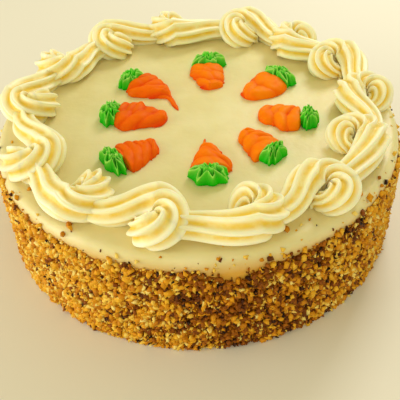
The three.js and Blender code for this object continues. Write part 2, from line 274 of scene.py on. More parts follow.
class Bench:
    """Adds nodes to a tree and joins their sockets."""

    def __init__(self, tree: bpy.types.NodeTree) -> None:
        """Keeps the tree that is being built."""
        self.tree = tree

    def feed(self, socket: bpy.types.NodeSocket, value: Any) -> None:
        """Joins a socket to what gives its value, or sets a plain value on it.

        Args:
            socket: the socket that is fed.
            value: a Field, a socket, a node (its first output is meant) or a plain value.
        """
        if isinstance(value, Field):
            value = value.socket
        elif isinstance(value, bpy.types.Node):
            value = value.outputs[0]
        if isinstance(value, bpy.types.NodeSocket):
            self.tree.links.new(value, socket)
        else:
            socket.default_value = value

    def node(
        self, kind: str, inputs: Optional[Dict[Any, Any]] = None, **settings: Any
    ) -> bpy.types.Node:
        """Adds one node.

        Args:
            kind: the node's type.
            inputs: what feeds its inputs, by name or number.
            settings: values of its options.

        Returns:
            The node.
        """
        node = self.tree.nodes.new(kind)
        for option, value in settings.items():
            setattr(node, option, value)
        for key, value in (inputs or {}).items():
            self.feed(node.inputs[key], value)
        return node

    def math(self, operation: str, first: Operand, second: Operand = 0.0) -> Field:
        """Adds one sum.

        Args:
            operation: name of the sum.
            first: first number.
            second: second number, where the sum has one.

        Returns:
            The result.
        """
        node = self.node("ShaderNodeMath", {0: first, 1: second}, operation=operation)
        return Field(self, node.outputs[0])


class Draw(Enum):
    """Kinds of random draw: data type, then the numbers of the least, the most and the result."""

    VECTOR = ("FLOAT_VECTOR", 0, 1, 0)
    NUMBER = ("FLOAT", 2, 3, 1)
    WHOLE = ("INT", 4, 5, 2)


class ShapeBench(Bench):
    """Workbench for one Geometry Nodes tree with named inputs."""

    def __init__(self, name: str) -> None:
        """Starts a tree that takes a geometry in and gives one out.

        Args:
            name: name of the tree.
        """
        super().__init__(bpy.data.node_groups.new(name, "GeometryNodeTree"))
        for way in ("INPUT", "OUTPUT"):
            self.tree.interface.new_socket("Geometry", in_out=way, socket_type="NodeSocketGeometry")
        self.entry = self.node("NodeGroupInput")
        self.identifiers: Dict[str, str] = {}

    def ground(self) -> bpy.types.NodeSocket:
        """The geometry that comes in."""
        return self.entry.outputs["Geometry"]

    def number(self, name: str, kind: str = "NodeSocketFloat") -> Field:
        """Adds a named input.

        Args:
            name: what the input is called.
            kind: type of its socket.

        Returns:
            The input's value.
        """
        item = self.tree.interface.new_socket(name, in_out="INPUT", socket_type=kind)
        self.identifiers[name] = item.identifier
        return Field(self, self.entry.outputs[name])

    def numbers(self, *names: str) -> List[Field]:
        """Adds several named inputs that take plain numbers."""
        return [self.number(name) for name in names]

    def attribute(self, name: str) -> Field:
        """Reads one number that is stored on the points."""
        node = self.node("GeometryNodeInputNamedAttribute", {"Name": name}, data_type="FLOAT")
        return Field(self, node.outputs["Attribute"])

    def store(self, geometry: Any, name: str, value: Field, domain: str = "POINT") -> bpy.types.Node:
        """Stores one number on each point or instance.

        Args:
            geometry: what it is stored on.
            name: name to keep it under.
            value: the number.
            domain: POINT or INSTANCE.

        Returns:
            The node that gives the geometry with the number on it.
        """
        inputs = {"Geometry": geometry, "Name": name, "Value": value}
        kind = "GeometryNodeStoreNamedAttribute"
        return self.node(kind, inputs, data_type="FLOAT", domain=domain)

    def random(self, draw: Draw, least: Any, most: Any, seed: Operand) -> Field:
        """Random draw for each element, the same in every run.

        Args:
            draw: kind of draw.
            least: lower limit.
            most: upper limit.
            seed: picks the row of draws.

        Returns:
            The drawn value.
        """
        data_type, low, high, result = draw.value
        inputs = {low: least, high: most, "Seed": seed}
        node = self.node("FunctionNodeRandomValue", inputs, data_type=data_type)
        return Field(self, node.outputs[result])

    def vector(self, x: Operand, y: Operand, z: Operand) -> bpy.types.Node:
        """Puts three numbers together."""
        return self.node("ShaderNodeCombineXYZ", {0: x, 1: y, 2: z})

    def finish(self, geometry: Any, material: Field) -> None:
        """Ends the tree: copies become real mesh, which gets its finish.

        Args:
            geometry: the finished geometry.
            material: input that gives the finish.
        """
        real = self.node("GeometryNodeRealizeInstances", {"Geometry": geometry})
        dressed = self.node("GeometryNodeSetMaterial", {"Geometry": real, "Material": material})
        self.node("NodeGroupOutput", {"Geometry": dressed})

    def make(self, name: str, ground: bpy.types.Mesh, values: Dict[str, Any]) -> bpy.types.Object:
        """Runs the tree on a mesh and keeps the result as a plain mesh.

        Args:
            name: name of the piece.
            ground: the mesh that goes in.
            values: values of the named inputs.

        Returns:
            The piece, with no modifier left on it.
        """
        piece = place_in_scene(name, ground)
        modifier = piece.modifiers.new(name, "NODES")
        modifier.node_group = self.tree
        for label, value in values.items():
            modifier[self.identifiers[label]] = value
        depsgraph = bpy.context.evaluated_depsgraph_get()
        mesh = bpy.data.meshes.new_from_object(piece.evaluated_get(depsgraph))
        piece.modifiers.clear()
        piece.data = mesh
        mesh.name = name
        bpy.data.meshes.remove(ground)
        return piece


class FinishBench(Bench):
    """Workbench for one material."""

    def __init__(self, name: str) -> None:
        """Starts a material with a Principled shader and Object coordinates.

        Args:
            name: name of the material.
        """
        self.material = bpy.data.materials.new(name)
        self.material.use_nodes = True
        super().__init__(self.material.node_tree)
        self.shader = self.tree.nodes["Principled BSDF"]
        self.place = self.node("ShaderNodeTexCoord").outputs["Object"]

    def grain(self, size: float, detail: float = 3.0) -> Field:
        """Cloudy pattern from 0 to 1 with features of the given size in metres."""
        inputs = {"Vector": self.place, "Scale": 1 / size, "Detail": detail}
        return Field(self, self.node("ShaderNodeTexNoise", inputs).outputs["Fac"])

    def height(self) -> Field:
        """Height above the cake's foot."""
        return Field(self, self.node("ShaderNodeSeparateXYZ", {0: self.place}).outputs["Z"])

    def attribute(self, name: str) -> Field:
        """Number stored on the piece's points."""
        return Field(self, self.node("ShaderNodeAttribute", attribute_name=name).outputs["Fac"])

    def ramp(self, amount: Field, stops: Sequence[Tuple[float, Colour]]) -> bpy.types.NodeSocket:
        """Colour looked up along a row of stops.

        Args:
            amount: place along the row, from 0 to 1.
            stops: place and colour of each stop.

        Returns:
            The colour.
        """
        node = self.node("ShaderNodeValToRGB", {"Fac": amount})
        elements = node.color_ramp.elements
        while len(elements) < len(stops):
            elements.new(1.0)
        for element, (place, colour) in zip(elements, stops):
            element.position = place
            element.color = linear(colour)
        return node.outputs["Color"]

    def blend(self, amount: Field, first: Any, second: Colour) -> bpy.types.NodeSocket:
        """Blend of one colour into another, by a share from 0 to 1.

        Args:
            amount: share of the second colour.
            first: first colour, in linear light.
            second: second colour, from 0 to 255.

        Returns:
            The blended colour.
        """
        inputs = {0: amount, 6: first, 7: linear(second)}
        node = self.node("ShaderNodeMix", inputs, data_type="RGBA", clamp_factor=True)
        return node.outputs[2]

    def bump(self, heights: Sequence[Tuple[Field, float]]) -> None:
        """Raises the surface's shading by patterns.

        Args:
            heights: patterns, each with its depth in metres.
        """
        normal = None
        for height, depth in heights:
            inputs = {"Height": height, "Distance": depth, "Strength": 1.0}
            if normal is not None:
                inputs["Normal"] = normal
            normal = self.node("ShaderNodeBump", inputs).outputs["Normal"]
        self.feed(self.shader.inputs["Normal"], normal)

    def glow(self, weight: float, spread: Triple, depth: float) -> None:
        """Lets light sink in: its share, how far each colour spreads, and the depth in metres."""
        self.set(Subsurface_Weight=weight, Subsurface_Radius=spread, Subsurface_Scale=depth)

    def set(self, **values: Any) -> None:
        """Sets the shader's own inputs, with spaces in their names written as underscores."""
        for name, value in values.items():
            self.feed(self.shader.inputs[name.replace("_", " ")], value)


# ---------------------------------------------------------------- finishes

FAT_IOR = 1.45
CREAM_SPREAD: Triple = (1.0, 0.72, 0.32)
NUT_SPREAD: Triple = (1.0, 0.6, 0.25)


@dataclass(frozen=True)
class Frosting:
    """Spread frosting: creamy, faintly mottled, softly glowing, golden and darker on the side, partly
    a real golden tint and partly painted shade of the side.
    """

    name: str = "spread_frosting"
    light: Colour = (236, 225, 172)
    deep: Colour = (227, 214, 153)
    deep_until: float = 0.35
    light_from: float = 0.65
    cloud_size: float = 26 * MM
    side_tint_and_shade: Colour = (222, 168, 60)
    side_tint_and_shade_below: float = 60.5 * MM
    side_tint_and_shade_fade: float = 9 * MM
    roughness: float = 0.42
    glow: float = 0.35
    glow_depth: float = 3 * MM
    drag_size: float = 6 * MM
    drag_depth: float = 0.3 * MM
    pore_size: float = 1.6 * MM
    pore_depth: float = 0.05 * MM

    def material(self) -> bpy.types.Material:
        """Builds the material.

        Returns:
            The material.
        """
        bench = FinishBench(self.name)
        stops = [(self.deep_until, self.deep), (self.light_from, self.light)]
        mottled = bench.ramp(bench.grain(self.cloud_size), stops)
        # Painted shade: below the rim the frosting blends into a darker golden colour, partly its
        # real tint and partly the shade that falls on the side.
        side_tint_and_shade_share = (self.side_tint_and_shade_below - bench.height()) / self.side_tint_and_shade_fade
        bench.set(Base_Color=bench.blend(side_tint_and_shade_share, mottled, self.side_tint_and_shade))
        bench.set(Roughness=self.roughness, IOR=FAT_IOR)
        bench.glow(self.glow, CREAM_SPREAD, self.glow_depth)
        drag = bench.grain(self.drag_size)
        bench.bump([(drag, self.drag_depth), (bench.grain(self.pore_size), self.pore_depth)])
        return bench.material


@dataclass(frozen=True)
class PipedIcing:
    """Piped icing: a pale painted highlight on its crests and painted shade, in a deeper colour, in
    its grooves, with soft streaks of a tint.
    """

    name: str
    crest: Colour
    shaded_groove: Colour
    tint: Colour
    crest_highlight_start: float
    roughness: float = 0.38
    gloss: float = 0.5
    glow: float = 0.35
    glow_depth: float = 3 * MM
    streak_size: float = 7 * MM
    streak_level: float = 0.42
    streak_strength: float = 2.2
    grain_size: float = 1.3 * MM
    grain_depth: float = 0.04 * MM

    def material(self) -> bpy.types.Material:
        """Builds the material.

        Returns:
            The material.
        """
        bench = FinishBench(self.name)
        # Painted light: the crest colour is a painted highlight and the groove colour is painted
        # shade, looked up by each point's closeness to a crest.
        stops = [(0.0, self.shaded_groove), (self.crest_highlight_start, self.crest)]
        piped = bench.ramp(bench.attribute("crest"), stops)
        streaks = (bench.grain(self.streak_size) - self.streak_level) * self.streak_strength
        bench.set(Base_Color=bench.blend(streaks, piped, self.tint))
        bench.set(Roughness=self.roughness, IOR=FAT_IOR, Specular_IOR_Level=self.gloss)
        bench.glow(self.glow, CREAM_SPREAD, self.glow_depth)
        bench.bump([(bench.grain(self.grain_size), self.grain_depth)])
        return bench.material


@dataclass(frozen=True)
class ChoppedNut:
    """Chopped nut: each piece has its own tone between the kind's colours."""

    name: str
    tones: Tuple[Colour, ...]
    roughness: float = 0.55
    gloss: float = 0.25
    glow: float = 0.12
    glow_depth: float = 1 * MM
    fleck_size: float = 0.9 * MM
    fleck_depth: float = 0.12 * MM
    fleck_strength: float = 0.6

    def material(self) -> bpy.types.Material:
        """Builds the material.

        Returns:
            The material.
        """
        bench = FinishBench(self.name)
        last = len(self.tones) - 1
        stops = [(i / last, tone) for i, tone in enumerate(self.tones)]
        flecks = bench.grain(self.fleck_size)
        tone = bench.attribute("tone") + (flecks - 0.5) * self.fleck_strength
        bench.set(Base_Color=bench.ramp(tone, stops))
        bench.set(Roughness=self.roughness, IOR=FAT_IOR, Specular_IOR_Level=self.gloss)
        bench.glow(self.glow, NUT_SPREAD, self.glow_depth)
        bench.bump([(flecks, self.fleck_depth)])
        return bench.material


class Finish(Enum):
    """The finishes that the cake's pieces are dressed in."""

    FROSTING = Frosting()
    # Piped frosting: a pale painted highlight on the flutes' crests and deep yellow painted shade in
    # the grooves.
    PIPING = PipedIcing(
        "piped_frosting",
        crest=(255, 249, 214),
        shaded_groove=(244, 208, 66),
        tint=(254, 244, 190),
        crest_highlight_start=0.68,
    )
    # Orange icing: a painted highlight on the strokes' backs and a deep red-orange painted shade in
    # the creases.
    ORANGE = PipedIcing(
        "orange_icing",
        crest=(255, 138, 0),
        shaded_groove=(228, 56, 0),
        tint=(255, 112, 0),
        crest_highlight_start=0.9,
        roughness=0.5,
        gloss=0.08,
        glow=0.1,
    )
    # Green icing: a pale painted highlight on the frills' edges and painted shade in the folds.
    GREEN = PipedIcing(
        "green_icing",
        crest=(188, 255, 120),
        shaded_groove=(0, 186, 2),
        tint=(24, 224, 4),
        crest_highlight_start=0.97,
        roughness=0.5,
        gloss=0.1,
        glow=0.1,
    )
    # Ground nuts, coloured dark partly as their own colour and partly as painted shade in the gaps
    # between the chunks.
    NUT_BED = ChoppedNut("ground_nuts_gap_shade", ((88, 43, 0), (170, 102, 4), (218, 153, 30)))
    PALE_NUT = ChoppedNut("pale_nut", ((230, 172, 40), (246, 204, 80), (253, 228, 134)))
    GOLDEN_NUT = ChoppedNut("golden_nut", ((196, 122, 4), (226, 156, 16), (244, 188, 46)))
    BROWN_NUT = ChoppedNut("brown_nut", ((96, 45, 0), (142, 75, 0), (180, 106, 2)))
    NUT_SKIN = ChoppedNut("nut_skin", ((30, 8, 0), (56, 20, 0), (86, 36, 2)), roughness=0.4)


class Wardrobe:
    """Makes each finish's material once."""

    def __init__(self) -> None:
        """Starts with no material made."""
        self.made: Dict[Finish, bpy.types.Material] = {}

    def get(self, finish: Finish) -> bpy.types.Material:
        """Gives a finish's material and makes it first if need be.

        Args:
            finish: the finish.

        Returns:
            Its material.
        """
        if finish not in self.made:
            self.made[finish] = finish.value.material()
        return self.made[finish]


# ---------------------------------------------------------------- frosted cake


@dataclass
class FrostedCake:
    """The cake's smooth frosting: a flat top, a rounded edge and a bare band above the nuts."""

    height: float = 62.5 * MM
    radius: float = 108.4 * MM
    edge_round: float = 4.6 * MM
    top_wave: float = 0.3 * MM
    side_wave: float = 0.7 * MM
    wave_size: float = 38 * MM
    wave_level: float = 0.5
    fine_share: float = 0.3
    fine_level: float = 1.7
    side_stretch: float = 3.0
    middle_dip: float = 0.15 * MM
    segments: int = 300
    top_rings: int = 44
    edge_rings: int = 10
    side_rings: int = 16

    def profile(self) -> List[Pair]:
        """Traces the profile from the foot up and in to near the axis.

        Returns:
            Radius and height of each ring.
        """
        flat = self.radius - self.edge_round
        side = self.height - self.edge_round
        points = [(self.radius, mix(0, side, i / self.side_rings)) for i in range(self.side_rings)]
        for i in range(self.edge_rings + 1):
            turn = math.pi / 2 * i / self.edge_rings
            reach = self.radius - self.edge_round * (1 - math.cos(turn))
            points.append((reach, self.height - self.edge_round * (1 - math.sin(turn))))
        for i in range(1, self.top_rings):
            points.append((flat * (1 - i / self.top_rings), self.height))
        return points

    def uneven(self, radius: float, angle: float, height: float) -> Point:
        """Moves a point of the true form by the spatula's small waves.

        Args:
            radius: its distance from the axis.
            angle: its angle round the cake, in radians.
            height: its height.

        Returns:
            The moved point.
        """
        x, y, z = polar(radius, angle, height)
        if height < self.height - self.edge_round:
            wave = smooth_noise(x, y, self.side_stretch * z, self.wave_size)
            return polar(min(radius + self.side_wave * wave, radius), angle, height)
        lift = self.top_wave * (smooth_noise(x, y, self.wave_level, self.wave_size) - 0.5)
        fine = smooth_noise(x, y, self.fine_level, self.fine_share * self.wave_size)
        return (x, y, z + (lift + self.fine_share * self.top_wave * fine))

    def build(self, wardrobe: Wardrobe) -> None:
        """Makes and dresses the frosting.

        Args:
            wardrobe: gives the finish.
        """
        rings = self.profile()
        points = []
        for radius, height in rings:
            points += [self.uneven(radius, turn, height) for turn in circle_angles(self.segments)]
        points += [(0, 0, 0), (0, 0, self.height - self.middle_dip)]
        mesh = closed_mesh("frosting", points, capped_faces(len(rings), self.segments))
        dress(mesh, wardrobe.get(Finish.FROSTING), "cake")


# ---------------------------------------------------------------- nut coat


@dataclass(frozen=True)
class NutKind:
    """One kind of chopped nut: how many, how large, and how it gathers at the front, where dark kinds
    partly paint shade, or in patches.
    """

    name: str
    finish: Finish
    count: int
    smallest: float
    largest: float
    seed: int
    proud: float
    frontward: float
    gathered: float


@dataclass
class NutCoat:
    """Chopped nuts pressed on the side: a bed of ground nuts with chunks of each kind on it."""

    radius: float = 108.7 * MM
    height: float = 53 * MM
    depth: float = 4 * MM
    segments: int = 560
    rows: int = 44
    # Rough face of the bed, which fades out over the last twelfth below its upper edge, and the
    # tone of the ground nuts.
    bed_rough: float = 1.0 * MM
    bed_lift: float = 0.2
    bed_relief: float = 0.6
    coarse_size: float = 2.2 * MM
    fine_size: float = 1.1 * MM
    fine_share: float = 0.6
    edge_fade: float = 12.0
    bed_tone: float = 0.5
    bed_tone_swing: float = 0.4
    bed_tone_size: float = 3 * MM
    # Upper edge: waves (how many, share, start), ragged bits, and broad swells and dips
    # (place and spread in degrees, height in millimetres).
    top_wave: float = 1.6 * MM
    waves: Tuple[Triple, ...] = ((7, 0.6, 0), (17, 0.4, 1))
    ragged: float = 1.3 * MM
    ragged_size: float = 4 * MM
    swells: Tuple[Triple, ...] = ((-82.8, 5.5, -9.0), (-52, 18, 2.5), (-125, 20, 2.0))
    # Where the coat is darkest, in degrees (partly a real mix of nuts, partly painted shade of that
    # side), and how the kinds gather there and in patches.
    darkest: float = -77
    dark_spread: float = 30
    patch_size: float = 8 * MM
    least_share: float = 0.05
    # Chunks strewn above the coat: rows of radius, usual height above the edge and share of the
    # chunks; rows below the thin share fill the dips instead of gathering in patches.
    frosting_top: float = 62.4 * MM
    stray_reach: float = 9.4 * MM
    stray_gathering: float = 2.5
    stray_patch_size: float = 5 * MM
    stray_patch_level: float = 0.5
    stray_patch_swing: float = 2.0
    stray_frontward: float = 0.8
    thin: float = 0.1
    strays: Tuple[Triple, ...] = (
        (108.6, 0.0, 1.0),
        (108.6, 1.0, 0.62),
        (108.6, 2.0, 0.34),
        (108.5, 3.4, 0.12),
        (108.4, 4.9, 0.05),
        (107.3, 7.4, 0.035),
        (104.5, 9.4, 0.016),
        (99.0, 9.4, 0.004),
    )
    # Chunks: blocks with their corners pushed about, pressed along each axis by a share that
    # changes from shape to shape; small ones are more usual than large ones.
    shapes: int = 5
    block_side: float = 1.5
    corner_push: float = 0.45
    pressed: Tuple[Pair, ...] = ((1.15, 0.0), (0.75, 0.08), (1.0, -0.1))
    first_shape_seed: int = 10
    small_usual: float = 2.2
    foot_gap: float = 0.1 * MM
    # Kinds: name, finish, how many, smallest and largest radius, seed, how proud of the bed they
    # lie as a share of their radius, and how much they gather at the front and in patches.
    kinds: Tuple[NutKind, ...] = (
        NutKind("pale_nuts", Finish.PALE_NUT, 9500, 0.3 * MM, 1.5 * MM, 3, 0.5, -0.74, -0.6),
        NutKind("golden_nuts", Finish.GOLDEN_NUT, 11700, 0.3 * MM, 1.8 * MM, 7, 0.45, -0.42, -0.3),
        NutKind("brown_nuts", Finish.BROWN_NUT, 9500, 0.3 * MM, 1.5 * MM, 11, 0.5, 0.88, 0.8),
        NutKind("nut_skins", Finish.NUT_SKIN, 4200, 0.25 * MM, 1.1 * MM, 19, 0.7, 0.75, 1.4),
    )

    def near(self, angle: float, place: float, spread: float) -> float:
        """Nearness from 0 to 1 of an angle to a place round the cake, given in degrees."""
        away = math.degrees(math.remainder(angle - math.radians(place), TURN))
        return math.exp(-((away / spread) ** 2))

    def swell(self, angle: float) -> float:
        """Broad rise of the coat's upper edge, or dip where it is below nought, at an angle."""
        return sum(most * MM * self.near(angle, place, spread) for place, spread, most in self.swells)

    def upper_edge(self, angle: float) -> float:
        """Finds the height of the coat's uneven upper edge.

        Args:
            angle: angle round the cake, in radians.

        Returns:
            The height.
        """
        wave = sum(share * math.sin(count * angle + start) for count, share, start in self.waves)
        ragged = self.ragged * smooth_noise(*polar(self.radius, angle, 0.0), self.ragged_size)
        return self.height + (self.top_wave * wave + ragged) + self.swell(angle)

    def stray_level(self, angle: float, above: float) -> float:
        """Height at which strays lie whose usual place is a distance above the upper edge."""
        level = self.upper_edge(angle) + above * (1 - self.swell(angle) / self.stray_reach)
        return min(level, self.frosting_top)

    def bed_point(self, angle: float, share: float) -> Point:
        """Finds a point of the bed's rough outer face.

        Args:
            angle: angle round the cake, in radians.
            share: how far it is up, from 0 at the foot to 1 at the upper edge.

        Returns:
            The point.
        """
        height = share * self.upper_edge(angle)
        true = polar(self.radius, angle, height)
        fine = self.fine_share * smooth_noise(*true, self.fine_size)
        rough = smooth_noise(*true, self.coarse_size) + fine
        fade = min(1.0, (1 - share) * self.edge_fade)
        lift = self.bed_rough * (self.bed_lift + self.bed_relief * rough) * fade
        return polar(self.radius + lift, angle, height)

    def bed_rings(self) -> List[List[Point]]:
        """Makes the rings of the bed's outer face, from the foot to the upper edge.

        Returns:
            The points of each ring.
        """
        shares = [row / (self.rows - 1) for row in range(self.rows)]
        angles = circle_angles(self.segments)
        return [[self.bed_point(angle, share) for angle in angles] for share in shares]

    def bed(self, rings: List[List[Point]], wardrobe: Wardrobe) -> None:
        """Closes the bed behind its outer face and dresses it.

        Args:
            rings: rings of the outer face.
            wardrobe: gives the finish.
        """
        points = [point for ring in rings for point in ring]
        inner = self.radius - self.depth
        for x, y, z in rings[-1] + rings[0]:
            scale = inner / math.hypot(x, y)
            points.append((x * scale, y * scale, z))
        faces = ring_faces(self.rows + 2, self.segments)
        last = (self.rows + 1) * self.segments
        for column in range(self.segments):
            after = (column + 1) % self.segments
            faces.append((last + column, last + after, after, column))
        mesh = closed_mesh("nut_bed", points, faces)
        swings = [smooth_noise(*point, self.bed_tone_size) for point in points]
        point_attribute(mesh, "tone", [self.bed_tone + self.bed_tone_swing * s for s in swings])
        dress(mesh, wardrobe.get(Finish.NUT_BED), "cake")

    def share_at(self, point: Point, share: float, kind: NutKind) -> float:
        """Finds the share of a kind's chunks that a point of the coat gets.

        Args:
            point: place of the point.
            share: share that its whole row gets.
            kind: the kind of nut.

        Returns:
            The point's own share.
        """
        angle = math.atan2(point[1], point[0])
        # Painted shade in part: dark kinds gather towards the darkest side, besides being a real
        # uneven mix.
        facing = self.near(angle, self.darkest, self.dark_spread)
        patches = smooth_noise(*point, self.patch_size)
        here = 1 + kind.frontward * (2 * facing - 1) + kind.gathered * 2 * patches
        if share < 1:
            stray_patches = smooth_noise(*point, self.stray_patch_size)
            here *= self.stray_patch_level + self.stray_patch_swing * stray_patches
        if share < self.thin:
            dip = max(0.0, -self.swell(angle)) / self.stray_reach
            here = (1 - self.stray_frontward * kind.frontward) * (1 + self.stray_gathering * dip)
        return share * max(self.least_share, here)

    def patch(self, rings: List[List[Point]], kind: NutKind) -> bpy.types.Mesh:
        """Makes the open sheet on which a kind's chunks lie.

        Args:
            rings: rings of the bed's outer face.
            kind: the kind of nut.

        Returns:
            The sheet, which goes on above the bed for the stray chunks.
        """
        rows = [(ring, 1.0) for ring in rings]
        angles = circle_angles(self.segments)
        for radius, above, share in self.strays:
            levels = [self.stray_level(angle, above * MM) for angle in angles]
            ring = [polar(radius * MM, angle, level) for angle, level in zip(angles, levels)]
            rows.append((ring, share))
        mesh = bpy.data.meshes.new("patch")
        points = [point for ring, _ in rows for point in ring]
        mesh.from_pydata(points, [], ring_faces(len(rows), self.segments))
        shares = [self.share_at(point, share, kind) for ring, share in rows for point in ring]
        point_attribute(mesh, "share", shares)
        return mesh

    def scatter(self) -> ShapeBench:
        """Builds the tree that strews uneven chunks over a sheet.

        Returns:
            The workbench that holds the tree.
        """
        bench = ShapeBench("strewn_chunks")
        amount, smallest, largest, proud = bench.numbers(
            "Chunks Per Area", "Smallest Radius", "Largest Radius", "Proud Share"
        )
        seed = bench.number("Seed", "NodeSocketInt")
        material = bench.number("Finish", "NodeSocketMaterial")

        density = amount * bench.attribute("share")
        inputs = {"Mesh": bench.ground(), "Density": density, "Seed": seed}
        spread = bench.node("GeometryNodeDistributePointsOnFaces", inputs)
        shapes = bench.node("GeometryNodeJoinGeometry")
        for shape in range(self.shapes):
            bench.feed(shapes.inputs[0], self.chunk(bench, shape))

        choice = bench.random(Draw.WHOLE, 0, self.shapes - 1, seed + 1)
        turned = bench.random(Draw.VECTOR, (0, 0, 0), (TURN, TURN, TURN), seed + 2)
        drawn = bench.random(Draw.NUMBER, 0.0, 1.0, seed + 3) ** self.small_usual
        size = smallest + (largest - smallest) * drawn
        sized = bench.store(spread, "size", size)
        inputs = {0: spread.outputs["Normal"], "Scale": proud * bench.attribute("size")}
        outward = bench.node("ShaderNodeVectorMath", inputs, operation="SCALE")
        inputs = {"Geometry": sized, "Offset": outward}
        lifted = bench.node("GeometryNodeSetPosition", inputs)
        inputs = {
            "Points": lifted,
            "Instance": shapes,
            "Pick Instance": True,
            "Instance Index": choice,
            "Rotation": turned,
            "Scale": bench.vector(*[bench.attribute("size")] * 3),
        }
        placed = bench.node("GeometryNodeInstanceOnPoints", inputs)
        tone = bench.random(Draw.NUMBER, 0.0, 1.0, seed + 4)
        toned = bench.store(placed, "tone", tone, "INSTANCE")
        real = bench.node("GeometryNodeRealizeInstances", {"Geometry": toned})
        bench.finish(self.above_ground(bench, real), material)
        return bench

    def chunk(self, bench: ShapeBench, shape: int) -> bpy.types.Node:
        """Makes one angular chunk of about unit radius.

        Args:
            bench: tree that it is added to.
            shape: number of the shape, which picks its unevenness.

        Returns:
            The node that gives the chunk as an instance.
        """
        block = bench.node("GeometryNodeMeshCube", {"Size": (self.block_side,) * 3})
        least, most = (-self.corner_push,) * 3, (self.corner_push,) * 3
        push = bench.random(Draw.VECTOR, least, most, self.first_shape_seed + shape)
        uneven = bench.node("GeometryNodeSetPosition", {"Geometry": block, "Offset": push})
        scale = tuple(share + step * shape for share, step in self.pressed)
        flat = bench.node("GeometryNodeTransform", {"Geometry": uneven, "Scale": scale})
        inputs = {"Geometry": flat, "Shade Smooth": True}
        rounded = bench.node("GeometryNodeSetShadeSmooth", inputs)
        return bench.node("GeometryNodeGeometryToInstance", {0: rounded})

    def above_ground(self, bench: ShapeBench, geometry: bpy.types.Node) -> bpy.types.Node:
        """Lifts what would reach below the cake's foot.

        Args:
            bench: tree that it is added to.
            geometry: node that gives the chunks.

        Returns:
            The node that gives the lifted chunks.
        """
        place = bench.node("GeometryNodeInputPosition")
        x, y, z = bench.node("ShaderNodeSeparateXYZ", {0: place}).outputs
        held = bench.vector(x, y, Field(bench, z).at_least(self.foot_gap))
        return bench.node("GeometryNodeSetPosition", {"Geometry": geometry, "Position": held})

    def build(self, wardrobe: Wardrobe) -> None:
        """Makes the bed and strews each kind on it.

        Args:
            wardrobe: gives the finishes.
        """
        rings = self.bed_rings()
        self.bed(rings, wardrobe)
        bench = self.scatter()
        area = TURN * self.radius * self.height
        for kind in self.kinds:
            values = {
                "Chunks Per Area": kind.count / area,
                "Smallest Radius": kind.smallest,
                "Largest Radius": kind.largest,
                "Proud Share": kind.proud,
                "Seed": kind.seed,
                "Finish": wardrobe.get(kind.finish),
            }
            piece = bench.make(kind.name, self.patch(rings, kind), values)
            hand_over(piece, "cake")


# ---------------------------------------------------------------- piped border


@dataclass(frozen=True)
class Station:
    """One place along a piped rope, in the swirl's own plan.

    Besides its place it holds how far the rope's middle lies below its usual height, how steeply
    and which way the rope runs, its girth and twist, and how far it gives way to the eye (inner)
    in the room that there is.
    """

    u: float
    v: float
    sink: float
    pitch: float
    heading: float
    girth: float
    twist: float
    inner: float
    room: float


